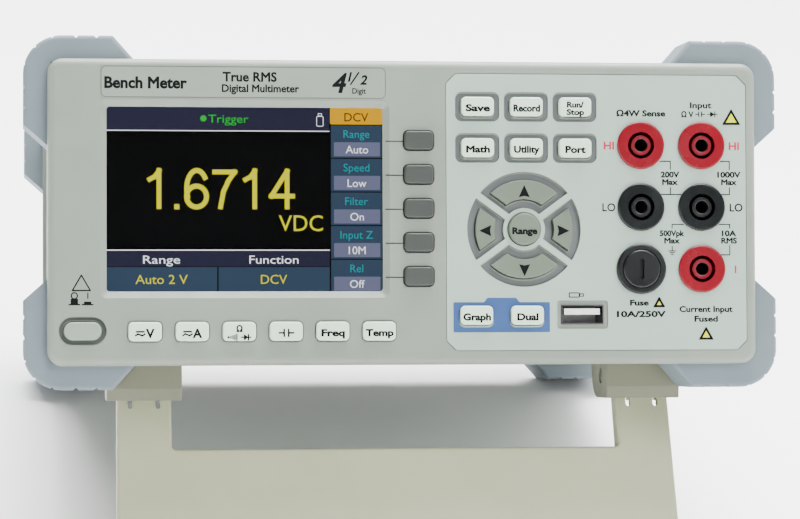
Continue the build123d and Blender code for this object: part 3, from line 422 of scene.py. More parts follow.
def blended(tree, factor, first, second):
    """Colour that goes from the first to the second with a pattern."""
    node = tree.nodes.new("ShaderNodeMix")
    node.data_type = "RGBA"
    node.inputs["A"].default_value = (*first, 1)
    node.inputs["B"].default_value = (*second, 1)
    tree.links.new(factor, node.inputs["Factor"])
    return node.outputs["Result"]


def relief(tree, shader, source, strength, depth):
    node = tree.nodes.new("ShaderNodeBump")
    node.inputs["Strength"].default_value = strength
    node.inputs["Distance"].default_value = depth * MM
    tree.links.new(source, node.inputs["Height"])
    tree.links.new(node.outputs["Normal"], shader.inputs["Normal"])


def shade(base, amount):
    return tuple(min(1.0, channel * amount) for channel in base)


def moulded(
    name, base, rough=0.5, grain=2600.0, depth=0.03, strength=0.25, mottle=0.05, stretch=None, shine=0.5
):
    """Moulded plastic, rubber or powder coat: fine grain, faint cloudy colour and uneven gloss."""
    material, tree, shader = shader_of(name)
    shader.inputs["Specular IOR Level"].default_value = shine
    cloud = noise(tree, 28.0, 4.0)
    tint = blended(tree, spread(tree, cloud, 0, 1), shade(base, 1 - mottle), shade(base, 1 + mottle))
    tree.links.new(tint, shader.inputs["Base Color"])
    worn = noise(tree, 110.0, 5.0)
    tree.links.new(spread(tree, worn, rough - 0.05, rough + 0.05), shader.inputs["Roughness"])
    relief(tree, shader, noise(tree, grain, 3.0, stretch), strength, depth)
    return material


def printed(name, base):
    """Matt print, too thin to shine."""
    return moulded(name, base, 0.6, 4200.0, 0.006, shine=0.05)


def metal(name, base, rough=0.3, stretch=(1, 1, 1), grain=900.0):
    """Plated or plain metal with fine drawn lines along one direction."""
    material = moulded(name, base, rough, grain, 0.01, 0.15, 0.08, stretch)
    material.node_tree.nodes["Principled BSDF"].inputs["Metallic"].default_value = 1.0
    return material


def glossy(name, base, rough=0.25, coat=0.1):
    """Glossy moulding with a faint orange-peel skin."""
    material = moulded(name, base, rough, 700.0, 0.02, 0.12, 0.06, shine=0.25)
    shader = material.node_tree.nodes["Principled BSDF"]
    shader.inputs["Coat Weight"].default_value = coat
    shader.inputs["Coat Roughness"].default_value = 0.12
    return material


def clear(name, tint, rough, ior):
    """Clear plastic or glass with faint smears in its gloss."""
    material, tree, shader = shader_of(name)
    shader.inputs["Transmission Weight"].default_value = 1.0
    shader.inputs["IOR"].default_value = ior
    smear = spread(tree, noise(tree, 60.0, 5.0), rough * 0.5, rough * 1.5)
    tree.links.new(smear, shader.inputs["Roughness"])
    hue = blended(tree, noise(tree, 20.0), tint, shade(tint, 0.97))
    tree.links.new(hue, shader.inputs["Base Color"])
    return material


def glow(name, base, brightness=1.0):
    """A lit area of the display, with the slight unevenness of its backlight."""
    material, tree, shader = shader_of(name)
    shader.inputs["Base Color"].default_value = (0.001, 0.001, 0.001, 1)
    shader.inputs["Specular IOR Level"].default_value = 0.0
    even = spread(tree, noise(tree, 18.0, 1.0), 0, 1)
    light = blended(tree, even, shade(base, 0.94), base)
    tree.links.new(light, shader.inputs["Emission Color"])
    shader.inputs["Emission Strength"].default_value = brightness * bpy.context.scene.meter_glow.strength
    return material


def board_finish(name):
    """Green solder mask over faint copper tracks."""
    material, tree, shader = shader_of(name)
    tracks = tree.nodes.new("ShaderNodeTexBrick")
    tracks.inputs["Scale"].default_value = 90.0
    tracks.inputs["Mortar Size"].default_value = 0.06
    tracks.inputs["Color1"].default_value = (0.004, 0.075, 0.026, 1)
    tracks.inputs["Color2"].default_value = (0.005, 0.09, 0.03, 1)
    tracks.inputs["Mortar"].default_value = (0.02, 0.17, 0.06, 1)
    tree.links.new(own_place(tree), tracks.inputs["Vector"])
    tree.links.new(tracks.outputs["Color"], shader.inputs["Base Color"])
    relief(tree, shader, tracks.outputs["Fac"], 0.2, 0.03)
    shader.inputs["Roughness"].default_value = 0.35
    return material


def lamination_finish(name):
    """Varnished iron laminations, seen as fine dark lines."""
    material, tree, shader = shader_of(name)
    sheets = tree.nodes.new("ShaderNodeTexWave")
    sheets.bands_direction = "Y"
    sheets.inputs["Scale"].default_value = 320.0
    sheets.inputs["Distortion"].default_value = 0.6
    tree.links.new(own_place(tree), sheets.inputs["Vector"])
    tint = blended(tree, sheets.outputs["Fac"], (0.05, 0.045, 0.04), (0.16, 0.15, 0.14))
    tree.links.new(tint, shader.inputs["Base Color"])
    relief(tree, shader, sheets.outputs["Fac"], 0.5, 0.1)
    shader.inputs["Metallic"].default_value = 0.4
    shader.inputs["Roughness"].default_value = 0.5
    return material


def fuse_finish(name):
    """One bright, slightly dull silver for the fuse's tube and its end caps."""
    material, tree, shader = shader_of(name)
    shader.inputs["Base Color"].default_value = (0.75, 0.76, 0.78, 1)
    tree.links.new(spread(tree, noise(tree, 300.0), 0.15, 0.35), shader.inputs["Roughness"])
    shader.inputs["Metallic"].default_value = 0.7
    relief(tree, shader, noise(tree, 900.0), 0.2, 0.02)
    return material


def dress(material, *nodes):
    for name in nodes:
        mesh = frame["nodes"][name].data
        mesh.materials.clear()
        mesh.materials.append(material)


# ---------------------------------------------------------------- the meter's own nodes
LIGHT_KEYS = (
    "save_key", "record_key", "run_stop_key", "math_key", "utility_key", "port_key", "graph_key",
    "dual_key", "volts_key", "amps_key", "ohms_key", "capacitance_key", "frequency_key",
    "temperature_key",
)
SOFT_KEYS = tuple(f"soft_key_{i + 1}" for i in range(5))
PAD_KEYS = ("up_key", "down_key", "left_key", "right_key", "range_key")


class METER_OT_case(bpy.types.Operator):
    """Finish the case: bezel, overlay, covers, rear frame, bumpers, brackets and stand, the brackets
    darkened as painted shade
    """

    bl_idname = "meter.case"
    bl_label = "Case"

    def execute(self, context):
        tones = paints()
        dress(moulded("bezel_plastic", tones.bezel, 0.48, 3200.0, 0.02), "front_bezel", "rear_panel")
        dress(moulded("overlay_film", tones.overlay, 0.4, 5200.0, 0.008, 0.2, 0.02), "terminal_overlay")
        coat = moulded("cover_powder_coat", tones.cover, 0.5, 1800.0, 0.04, 0.3, 0.03)
        dress(coat, "top_cover", "bottom_cover")
        rubber = moulded("bumper_rubber", tones.rubber, 0.68, 3600.0, 0.03, 0.35, 0.07)
        dress(rubber, "front_bumpers", "rear_bumpers")
        surface = (0.52, 2600.0, 0.03, 0.3, 0.04)
        dress(moulded("stand_plastic", tones.stand, *surface), "tilt_stand")
        # The brackets take the stand's colour darkened: painted shade from the case above them.
        dress(moulded("bracket_painted_shade", shade(tones.stand, 0.36), *surface), "hinge_brackets")
        return {"FINISHED"}


class METER_OT_keys(bpy.types.Operator):
    """Finish the key caps, the power button and the selector"""

    bl_idname = "meter.keys"
    bl_label = "Keys"

    def execute(self, context):
        tones = paints()
        grain = (3400.0, 0.01, 0.2)
        dress(moulded("key_plastic", tones.key, 0.42, *grain, 0.02), *LIGHT_KEYS)
        dress(moulded("power_button_plastic", shade(tones.key, 0.36), 0.4, *grain, 0.02), "power_button")
        dress(moulded("soft_key_plastic", tones.soft_key, 0.5, *grain, 0.1), *SOFT_KEYS)
        dress(moulded("arrow_key_plastic", tones.arrow_key, 0.45, *grain, 0.03), *PAD_KEYS)
        dress(glossy("selector_plastic", tones.jack_red, 0.3), "voltage_selector")
        return {"FINISHED"}


class METER_OT_terminals(bpy.types.Operator):
    """Finish the jacks, fuse, sockets and their contacts; the contacts and the memory socket are coloured
    dark as painted shade
    """

    bl_idname = "meter.terminals"
    bl_label = "Terminals"

    def execute(self, context):
        tones = paints()
        black = shade(tones.jack_black, 0.8)
        dress(glossy("jack_red", tones.jack_red), "red_jacks")
        dress(glossy("jack_black", tones.jack_black), "black_jacks")
        dress(glossy("fuse_holder_black", black, 0.32), "fuse_holder", "fuse_cap", "fuse_carrier")
        # Dark metal on the contacts: painted shade deep inside the jacks' bores.
        dress(metal("contact_plating_painted_shade", (0.12, 0.11, 0.10), 0.4, (6, 1, 6)), "jack_contacts")
        plating = metal("socket_plating", (0.55, 0.56, 0.57), 0.28, (1, 6, 1))
        dress(plating, "data_sockets", "serial_socket", "trigger_connectors")
        # Dark metal on the memory socket: painted shade inside its mouth.
        dress(metal("memory_socket_painted_shade", (0.10, 0.10, 0.11), 0.35, (1, 6, 1)), "usb_socket")
        dress(moulded("socket_tongue_white", colour(236, 236, 234), 0.4), "usb_tongue")
        dress(moulded("inlet_black", black, 0.45, 2600.0, 0.02), "ac_inlet", "mains_fuse_drawer")
        dress(metal("screw_steel", (0.5, 0.5, 0.52)), "case_screws", "stand_pins")
        dress(fuse_finish("fuse_glass"), "fuse_link")
        return {"FINISHED"}


class METER_OT_inside(bpy.types.Operator):
    """Finish the boards, transformer, mat, switch and display module"""

    bl_idname = "meter.inside"
    bl_label = "Inside"

    def execute(self, context):
        dress(board_finish("circuit_board"), "main_board", "key_board")
        dress(lamination_finish("transformer_iron"), "transformer")
        dress(metal("can_tinplate", (0.6, 0.6, 0.6), 0.35, (1, 4, 1)), "shield_can")
        dress(moulded("silicone_mat", colour(205, 204, 198), 0.6, 2200.0, 0.02), "keypad_mat")
        dress(moulded("switch_black", colour(28, 28, 30), 0.45), "power_switch")
        dress(metal("display_frame", (0.09, 0.09, 0.1), 0.4, (4, 1, 1)), "lcd_module")
        window = clear("window_acrylic", (0.98, 0.99, 1.0), 0.02, 1.2)
        window.node_tree.nodes["Principled BSDF"].inputs["Specular IOR Level"].default_value = 0.3
        dress(window, "display_window")
        return {"FINISHED"}


# ---------------------------------------------------------------- display
WINDOW_BACK = 3.5  # depth of the window's rear face
SCREEN_SIZE = (84.8, 56.8)
MENU_WIDTH = 16.2
HEADER_HEIGHT = 7.45
MENU_STEP = SOFT_PITCH * 0.99
LAYER = 0.06  # each layer of the picture lies this far in front of the last
DIGIT_STROKE = 1.45
MENU = (("Range", "Auto"), ("Speed", "Low"), ("Filter", "On"), ("Input Z", "10M"), ("Rel", "Off"))


def arc(u, v, reach, rise, start, end, count=14):
    """Points along part of an ellipse, between two angles in degrees."""
    turns = [math.radians(start + (end - start) * i / count) for i in range(count + 1)]
    return [(u + reach * math.cos(turn), v + rise * math.sin(turn)) for turn in turns]


# strokes of the big digits, from the middle of each digit's foot
DIGITS = {
    "1": [[(0.3, 0), (0.3, 11.0)], [(-2.5, 8.3), (-0.9, 9.2), (0.3, 10.9)]],
    "4": [[(1.6, 0), (1.6, 10.9), (-3.2, 3.3), (3.3, 3.3)]],
    "6": [arc(0, 3.1, 3.0, 3.15, 0, 360, 28), arc(0.1, 5.5, 3.1, 5.5, 38, 205)],
    "7": [[(-3.0, 10.6), (3.1, 10.6), (1.2, 7.9), (-0.3, 4.6), (-1.2, 0)]],
}


def lit(drawing, name, light, base, brightness=1.0):
    """Closes a drawing as one lit piece of the picture."""
    drawing.finish("screen_" + name, glow("glow_" + light, base, brightness), "display_frame")


def layer(number):
    """A drawing on one layer of the picture, counted from the one at the back."""
    low = -WINDOW_BACK - 6 * LAYER + number * LAYER
    return Drawing(low, low + LAYER - 0.01)


class METER_OT_display(bpy.types.Operator):
    """Draw the lit picture behind the display window"""

    bl_idname = "meter.display"
    bl_label = "Display"

    def execute(self, context):
        tones = context.scene.meter_glow
        u, v = centre_of("display_window")
        left, right = u - SCREEN_SIZE[0] / 2, u + SCREEN_SIZE[0] / 2
        low, high = v - SCREEN_SIZE[1] / 2, v + SCREEN_SIZE[1] / 2
        menu_left = right - MENU_WIDTH
        wide = menu_left - left - 0.3
        middle = left + wide / 2
        menu_u = menu_left + MENU_WIDTH / 2 - 0.1

        field = layer(0)
        field.tile(u, v, *SCREEN_SIZE)
        lit(field, "field", "black", (0.0006, 0.0006, 0.0009))

        bars = layer(1)
        bars.tile(middle, high - HEADER_HEIGHT / 2, wide, HEADER_HEIGHT)
        bars.tile(middle, low + 10.35, wide, 4.6)
        lit(bars, "bars", "bar", tones.bar)

        side = layer(1)
        side.tile(middle - wide / 4 - 0.1, low + 4.0, wide / 2 - 0.2, 7.7)
        side.tile(middle + wide / 4 + 0.1, low + 4.0, wide / 2 - 0.2, 7.7)
        for i in range(len(MENU)):
            side.tile(menu_u, low + 5.1 + i * MENU_STEP, MENU_WIDTH - 0.5, SOFT_PITCH - 0.4)
        lit(side, "menu", "side", tones.side)

        boxes = layer(2)
        for i in range(len(MENU)):
            boxes.tile(menu_u + 0.15, low + 2.75 + i * MENU_STEP, MENU_WIDTH - 2.0, 4.3, 0.2)
        lit(boxes, "boxes", "box", tones.box)

        tab = layer(2)
        tab.tile(menu_u, high - 2.75, MENU_WIDTH, 5.1, 0.5)
        lit(tab, "tab", "tab", tones.tab)

        tab_words = layer(3)
        tab_words.words("DCV", menu_u, high - 3.0, 2.7, 7.4, 0.02)
        lit(tab_words, "tab_words", "brown", (0.10, 0.03, 0.01))

        reading = layer(1)
        for digit, place in zip("16714", (-26.4, -14.7, -6.2, 2.7, 11.3)):
            for stroke in DIGITS[digit]:
                reading.path([(u + place + x, v - 2.2 + y) for x, y in stroke], DIGIT_STROKE)
        reading.tile(u - 20.7, v - 2.2, 1.6, 1.6)
        reading.words("VDC", u + 17.1, v - 7.0, 5.1, 13.5)
        lit(reading, "reading", "reading", tones.reading, 1.1)

        values = layer(2)
        values.words("Auto 2 V", left + wide / 4, low + 4.2, 2.9, 15.8)
        values.words("DCV", left + wide * 3 / 4, low + 4.2, 2.9, 8.0)
        lit(values, "values", "values", tones.reading)

        captions = layer(3)
        captions.bar((left, high - HEADER_HEIGHT), (left + wide, high - HEADER_HEIGHT), 0.25)
        captions.bar((left, low + 13.0), (left + wide, low + 13.0), 0.3)
        captions.words("Range", left + wide / 4, low + 10.2, 2.6, 11.2)
        captions.words("Function", left + wide * 3 / 4, low + 10.2, 2.6, 15.0)
        for i, (_, value) in enumerate(reversed(MENU)):
            captions.words(value, menu_u + 0.15, low + 2.75 + i * MENU_STEP, 2.5)
        stick_u, stick_v = menu_left - 3.2, high - 4.0
        captions.framed(tile_face(stick_u, stick_v - 0.4, 2.2, 3.2, 0.5), 0.18)
        captions.framed(tile_face(stick_u, stick_v + 1.6, 1.2, 0.9), 0.16)
        lit(captions, "captions", "caption", tones.caption, 1.8)

        names = layer(3)
        for i, (name, _) in enumerate(reversed(MENU)):
            names.words(name, menu_u, low + 7.5 + i * MENU_STEP, 2.5)
        lit(names, "names", "teal", tones.teal)

        ready = layer(3)
        ready.disc(left + 29.8, high - 3.7, 0.95)
        ready.words("Trigger", left + 37.4, high - 3.7, 2.6, 12.2)
        lit(ready, "trigger", "ready", tones.ready)
        return {"FINISHED"}


# ---------------------------------------------------------------- fields and films
SPOKE_ANGLE = math.radians(36.0)  # from the pad's level line to each spoke
PAD_OUTER, PAD_HUB, SPOKE = 17.55, 6.6, 2.2
ARROW_OUTER, ARROW_INNER, ARROW_GAP = 15.4, 8.9, 5.0
KEY_HOLE = (10.7, 6.45, 1.8)
WELL_FLOOR, POCKET_FLOOR, BUTTON_FLOOR = -0.5, -1.4, -1.2  # levels that the sunk films lie on
PLATE = (-49.75, 39.45)  # middle of the name plate
TURNS = {"right": 0.0, "up": math.pi / 2, "left": math.pi, "down": -math.pi / 2}


def sunk(level):
    """A drawing of a thin film at the bottom of a well."""
    return Drawing(level, level + 0.04)


class METER_OT_fields(bpy.types.Operator):
    """Lay the films: painted shade in the key wells and the power button's well, pad pockets, the blue field
    and the name plate
    """

    bl_idname = "meter.fields"
    bl_label = "Fields"

    def execute(self, context):
        tones = paints()
        film = sizes().film_depth / MM
        pad = centre_of("range_key")

        # A dark film in each key well: painted shade round the upper keys, where the sunk fields lie in
        # shade.
        wells = sunk(WELL_FLOOR)
        for key in LIGHT_KEYS[:6]:
            u, v = centre_of(key)
            wells.pierced(tile_face(u, v, 13.6, 9.0, 1.9), [tile_face(u, v, *KEY_HOLE)])
        wells.finish("key_well_shade_films", moulded("key_well_painted_shade", tones.well, 0.5, 4200.0, 0.01), "overlay_film")

        pockets = sunk(POCKET_FLOOR)
        for turn in TURNS.values():
            outline = quarter_face(*pad, PAD_OUTER, PAD_HUB, SPOKE, turn)
            pockets.pierced(outline, [quarter_face(*pad, ARROW_OUTER, ARROW_INNER, ARROW_GAP, turn)])
        grain = (0.5, 3600.0, 0.015)
        pockets.finish("pad_pockets", moulded("pocket_film", tones.pocket, *grain), "bezel_plastic")

        # A dark ring of film in the power button's well: painted shade round the button.
        button = centre_of("power_button")
        well = sunk(BUTTON_FLOOR)
        well.pierced(tile_face(*button, 14.3, 8.4, 4.15), [tile_face(*button, 12.1, 6.2, 3.05)])
        dark = moulded("power_well_painted_shade", shade(tones.bezel, 0.3), *grain)
        well.finish("power_well", dark, "bezel_plastic")

        graph, dual = centre_of("graph_key"), centre_of("dual_key")
        u, v = (graph[0] + dual[0]) / 2, graph[1] - 0.1
        half, rise, tab = 14.95, 4.6, 5.4
        outline = shape_face(
            (
                (u - half, v - rise), (u + half, v - rise), (u + half, v + rise), (u + tab, v + rise),
                (u + tab - 0.9, v + rise + 1.35), (u - tab + 0.9, v + rise + 1.35),
                (u - tab, v + rise), (u - half, v + rise),
            ),
            0.35,
        )
        blue = Drawing()
        blue.pierced(outline, [tile_face(*graph, *KEY_HOLE), tile_face(*dual, *KEY_HOLE)])
        blue.finish("blue_field", moulded("blue_print", tones.zone, 0.45, 4200.0, 0.006), "overlay_film")

        plate = Drawing(0.0, film)
        plate.tile(*PLATE, 86.4, 9.3, 1.5)
        face = moulded("name_plate_film", shade(tones.bezel, 1.06), 0.36, 5200.0, 0.006)
        plate.finish("name_plate", face, "overlay_film")
        edge = Drawing(0.0, film + 0.01)
        edge.framed(tile_face(*PLATE, 86.6, 9.5, 1.6), 0.2)
        rim = moulded("name_plate_line", shade(tones.bezel, 0.25))
        edge.finish("name_plate_edge", rim, "overlay_film")
        return {"FINISHED"}


# ---------------------------------------------------------------- lettering
def triangle_face(u, v, width):
    """Triangle standing on its base, with softened corners."""
    rise = width * 0.86
    points = ((u - width / 2, v - rise / 2), (u + width / 2, v - rise / 2), (u, v + rise / 2))
    return shape_face(points, width * 0.06)


def capacitor(drawing, u, v, width, height, line):
    """Two facing plates with their leads."""
    gap = width * 0.14
    for side in (-1, 1):
        drawing.bar((u + side * gap, v - height / 2), (u + side * gap, v + height / 2), line)
        drawing.bar((u + side * gap, v), (u + side * width / 2, v), line)


def diode(drawing, u, v, width, height, line):
    """Arrowhead against a bar, on one lead."""
    drawing.bar((u - width / 2, v), (u + width / 2, v), line * 0.8)
    tip = width * 0.22
    drawing.shape((u - tip, v - height / 2), (u + tip, v), (u - tip, v + height / 2))
    drawing.bar((u + tip, v - height / 2), (u + tip, v + height / 2), line)


def both_kinds(drawing, u, v, width, line):
    """Steady and alternating: a straight line over a wavy one."""
    drawing.bar((u - width / 2, v + 0.45), (u + width / 2, v + 0.45), line)
    wave = [(-0.5, -0.7), (-0.25, -0.25), (0.0, -0.5), (0.25, -0.75), (0.5, -0.3)]
    drawing.path([(u + x * width, v + y) for x, y in wave], line)


def arrowhead(drawing, u, v, size, turn):
    """Notched arrowhead that looks along a direction."""
    points = [(0.5, 0.0), (-0.5, 0.46), (-0.4, 0.0), (-0.5, -0.46)]
    turned = Matrix.Rotation(turn, 2)
    corners = [turned @ Vector(point) * size for point in points]
    drawing.shape(*[(u + corner.x, v + corner.y) for corner in corners])


KEY_WORDS = {
    "save_key": ("Save", 7.6),
    "record_key": ("Record", 8.3),
    "math_key": ("Math", 7.4),
    "utility_key": ("Utility", 8.0),
    "port_key": ("Port", 6.4),
    "graph_key": ("Graph", 8.6),
    "dual_key": ("Dual", 6.6),
    "frequency_key": ("Freq", 7.2),
    "temperature_key": ("Temp", 8.6),
}


class METER_OT_key_legends(bpy.types.Operator):
    """Print the legends on the keys; each one rides on its own key"""

    bl_idname = "meter.key_legends"
    bl_label = "Key legends"

    def execute(self, context):
        ink = printed("key_ink", paints().print_dark)

        def legend(key, front=KEY_FRONT):
            return Drawing(front), *centre_of(key)

        def done(drawing, key, slot="key_plastic"):
            drawing.finish(key + "_legend", ink, slot, key)

        for key, (text, width) in KEY_WORDS.items():
            drawing, u, v = legend(key)
            drawing.words(text, u, v + 0.05, 2.1, width, 0.13)
            done(drawing, key)
        drawing, u, v = legend("run_stop_key")
        drawing.words("Run/", u, v + 1.2, 1.75, 5.3, 0.11)
        drawing.words("Stop", u, v - 1.1, 1.75, 5.5, 0.11)
        done(drawing, "run_stop_key")
        for key, letter in (("volts_key", "V"), ("amps_key", "A")):
            drawing, u, v = legend(key)
            both_kinds(drawing, u - 1.5, v, 2.7, 0.5)
            drawing.words(letter, u + 1.5, v, 2.7, None, 0.16)
            done(drawing, key)
        drawing, u, v = legend("ohms_key")
        drawing.words("Ω", u, v + 1.35, 1.9, None, 0.12)
        drawing.disc(u - 3.3, v - 1.3, 0.36)
        for i in range(4):
            reach = 0.4 + 0.22 * i
            drawing.bar((u - 2.6 + 0.6 * i, v - 1.3 - reach), (u - 2.6 + 0.6 * i, v - 1.3 + reach), 0.36)
        diode(drawing, u + 2.0, v - 1.3, 3.2, 2.0, 0.46)
        done(drawing, "ohms_key")
        drawing, u, v = legend("capacitance_key")
        capacitor(drawing, u, v, 4.8, 2.5, 0.5)
        done(drawing, "capacitance_key")
        drawing, u, v = legend("range_key")
        drawing.words("Range", u, v, 2.0, 7.8, 0.13)
        done(drawing, "range_key", "arrow_key_plastic")
        pad = Vector(centre_of("range_key"))
        for way, turn in TURNS.items():
            drawing = Drawing(ARROW_FRONT)
            spot = pad + Vector((math.cos(turn), math.sin(turn))) * 12.15
            arrowhead(drawing, spot.x, spot.y, 3.7, turn)
            done(drawing, way + "_key", "arrow_key_plastic")
        return {"FINISHED"}


def landmarks():
    """Middles of the sense jack, the input jack and the fuse cap, from which the print is set out."""
    return centre_of_jack("sense_hi"), centre_of_jack("input_hi"), centre_of("fuse_cap")


def print_terminals(ink):
    """Names, limits and guide lines round the jacks, the fuse and the memory socket."""
    line = sizes().line / MM
    sense, entry, fuse = landmarks()
    dark = Drawing()
    dark.words("Ω4W Sense", sense[0] + 0.2, sense[1] + 10.0, 1.85, 15.4, 0.1)
    dark.words("Input", entry[0], entry[1] + 12.6, 1.85, 6.8, 0.08)
    dark.words("Ω V", entry[0] - 4.2, entry[1] + 9.75, 1.75, 3.9, 0.09)
    capacitor(dark, entry[0] - 0.2, entry[1] + 9.75, 3.0, 1.7, 0.32)
    diode(dark, entry[0] + 3.7, entry[1] + 9.75, 3.4, 1.8, 0.3)
    for (u, v), side, text in ((sense, -1, "200V"), (entry, 1, "1000V")):
        rail = u + 9.35 if side < 0 else u + 8.9
        dark.words("LO", u + (-10.0 if side < 0 else 11.0), v - JACK_PITCH, 2.5, 4.1, 0.06)
        dark.path([(u + 6.1, v - 4.85), (rail, v - 4.85), (rail, v - 7.35)], line)
        dark.words(text, rail - 0.1, v - 8.9, 1.75, 5.9 if side < 0 else 7.4, 0.1)
        dark.words("Max", rail - 0.1, v - 11.2, 1.75, 5.0, 0.1)
        dark.path([(rail, v - 13.0), (rail, v - 15.1), (u + 6.3, v - 15.1)], line)
    dark.bar((sense[0] + 9.35, sense[1] - 15.1), (entry[0] - 6.3, sense[1] - 15.1), line)
    rated = fuse[1] + 10.0
    for u, top, bottom in ((sense[0] + 9.8, "500Vpk", "Max"), (entry[0] + 8.7, "10A", "RMS")):
        dark.words(top, u, rated + 1.1, 1.75, 7.8 if "pk" in top else 4.6, 0.1)
        dark.words(bottom, u, rated - 1.15, 1.75, 5.0, 0.1)
    rise = sense[1] - JACK_PITCH - 5.3
    dark.path([(entry[0] - 5.6, rise), (sense[0] + 9.8, rise), (sense[0] + 9.8, rated + 2.7)], line)
    dark.path([(entry[0] + 5.6, rise), (entry[0] + 8.9, rise), (entry[0] + 8.9, rated + 2.7)], line)
    rail, rise = entry[0] + 8.9, fuse[1] + 4.4
    dark.path([(rail, rated - 2.7), (rail, rise), (entry[0] + 6.1, rise)], line)
    ground_u, ground_v = sense[0] + 9.8, fuse[1] + 5.6
    dark.bar((ground_u, ground_v), (ground_u, ground_v + 1.5), 0.3)
    for i in range(3):
        half = 1.2 - 0.42 * i
        dark.bar((ground_u - half, ground_v - 0.55 * i), (ground_u + half, ground_v - 0.55 * i), 0.3)
    dark.words("Fuse", fuse[0] - 0.6, fuse[1] - 10.3, 1.75, 5.9, 0.1)
    dark.words("10A/250V", fuse[0], fuse[1] - 13.8, 1.8, 15.4, 0.1)
    dark.words("Current Input", entry[0] + 1.3, fuse[1] - 12.3, 1.8, 16.8, 0.09)
    dark.words("Fused", entry[0] + 1.3, fuse[1] - 15.3, 1.8, 7.4, 0.09)
    stick_u, stick_v = centre_of("usb_socket")
    dark.framed(tile_face(stick_u - 2.6, stick_v + 6.0, 3.4, 1.6, 0.25), 0.3)
    dark.framed(tile_face(stick_u - 0.3, stick_v + 6.0, 1.4, 1.0), 0.26)
    dark.finish("panel_print", ink, "overlay_film")


def print_red(ink):
    """Names of the high terminals."""
    sense, entry, fuse = landmarks()
    red = Drawing()
    red.words("HI", sense[0] - 9.9, sense[1], 2.4, 3.2, 0.08)
    red.words("HI", entry[0] + 10.4, entry[1], 2.4, 3.2, 0.08)
    red.words("I", entry[0] + 10.7, fuse[1], 2.4, None, 0.05)
    red.finish("panel_red_print", ink, "overlay_film")


def print_cautions(ink):
    """Yellow triangles with dark rims."""
    _, entry, fuse = landmarks()
    spots = (
        (entry[0] + 9.6, entry[1] + 9.0, 5.8),
        (fuse[0] + 5.6, fuse[1] - 10.1, 3.9),
        (93.0, -37.1, 4.8),
    )
    yellow, rims = Drawing(), Drawing(0.0, 0.08)
    for u, v, width in spots:
        yellow.raised(triangle_face(u, v, width))
        rims.framed(triangle_face(u, v, width), 0.7)
    yellow.finish("caution_fields", printed("caution_yellow", paints().caution), "overlay_film")
    rims.finish("caution_rims", ink, "overlay_film")


def print_bezel(ink):
    """Power signs, and the lines from the display to the soft keys."""
    bezel = Drawing()
    u, v = centre_of("power_button")
    bezel.framed(triangle_face(u - 0.4, v + 14.4, 6.1), 0.42)
    bezel.ring(u - 2.5, v + 10.4, 1.1, 0.36)
    bezel.bar((u + 1.55, v + 9.5), (u + 1.55, v + 11.3), 0.36)
    for side, rise in ((-1, 1.6), (1, 0.75)):
        spot = u + (-2.5 if side < 0 else 1.5)
        bezel.bar((spot - 1.75, v + 7.75), (spot + 1.75, v + 7.75), 0.4)
        bezel.tile(spot, v + 7.9 + rise / 2, 2.2, rise)
    for key in SOFT_KEYS:
        end_u, end_v = centre_of(key)
        bezel.bar((-6.6, end_v + 0.2), (end_u - 4.7, end_v + 0.2), 0.28)
    bezel.finish("bezel_print", ink, "bezel_plastic")


def print_plate(ink):
    """Words of the name plate."""
    plate = Drawing(sizes().film_depth / MM)
    plate.words("Digital Multimeter", -44.7, 37.7, 2.35, 23.6, 0.09)
    plate.words("True RMS", -48.0, 41.2, 2.9, 16.5, 0.12)
    plate.words("Bench Meter", -79.5, 39.3, 3.5, 25.0, 0.18)
    plate.words("4", -20.6, 39.6, 6.0, 4.6, 0.22, 0.25)
    plate.words("1", -17.4, 41.4, 2.9, None, 0.12, 0.25)
    plate.bar((-17.3, 38.9), (-14.6, 42.8), 0.45)
    plate.words("2", -13.2, 40.5, 2.9, None, 0.12, 0.25)
    plate.words("Digit", -14.6, 37.1, 1.7, 4.2, 0.05)
    plate.finish("name_plate_words", ink, "overlay_film")


class METER_OT_panel_legends(bpy.types.Operator):
    """Print the overlay and the bezel: terminal legends, lines, triangles and power signs"""

    bl_idname = "meter.panel_legends"
    bl_label = "Panel legends"

    def execute(self, context):
        ink = printed("panel_ink", paints().print_dark)
        print_terminals(ink)
        print_red(printed("panel_red_ink", paints().print_red))
        print_cautions(ink)
        print_bezel(ink)
        print_plate(ink)
        return {"FINISHED"}


COLLAR_OUTER, COLLAR_INNER, COLLAR_FRONT, COLLAR_BACK = 3.12, 2.02, 0.99, -18.0


class METER_OT_jack_collars(bpy.types.Operator):
    """Add the insulating sleeve round each jack's contact"""

    bl_idname = "meter.jack_collars"
    bl_label = "Jack collars"

    def execute(self, context):
        tones = paints()
        sets = (
            ("red", shade(tones.jack_red, 0.75), ("sense_hi", "input_hi", "current")),
            ("black", shade(tones.jack_black, 1.2), ("sense_lo", "input_lo")),
        )
        for name, base, jacks in sets:
            drawing = Drawing()
            for jack in jacks:
                drawing.keep(collar(), Matrix.Translation((*centre_of_jack(jack), 0)))
            drawing.finish(f"{name}_collars", glossy(f"collar_{name}", base, 0.3), f"jack_{name}")
        return {"FINISHED"}


def collar():
    """A thin sleeve with a turned-in front lip, spun round its own axis."""
    part = bmesh.new()
    wall = 0.1
    profile = [
        (COLLAR_OUTER - wall, COLLAR_BACK), (COLLAR_OUTER, COLLAR_BACK),
        (COLLAR_OUTER, COLLAR_FRONT - 0.25), (COLLAR_OUTER - 0.25, COLLAR_FRONT),
        (COLLAR_INNER + 0.2, COLLAR_FRONT), (COLLAR_INNER, COLLAR_FRONT - 0.07),
        (COLLAR_OUTER - wall, COLLAR_FRONT - 0.09),
    ]
    corners = [part.verts.new((radius, 0, height)) for radius, height in profile]
    edges = [part.edges.new((a, b)) for a, b in zip(corners, corners[1:] + corners[:1])]
    bmesh.ops.spin(
        part,
        geom=corners + edges,
        cent=(0, 0, 0),
        axis=(0, 0, 1),
        angle=2 * math.pi,
        steps=48,
        use_merge=True,
    )
    bmesh.ops.recalc_face_normals(part, faces=part.faces)
    return part


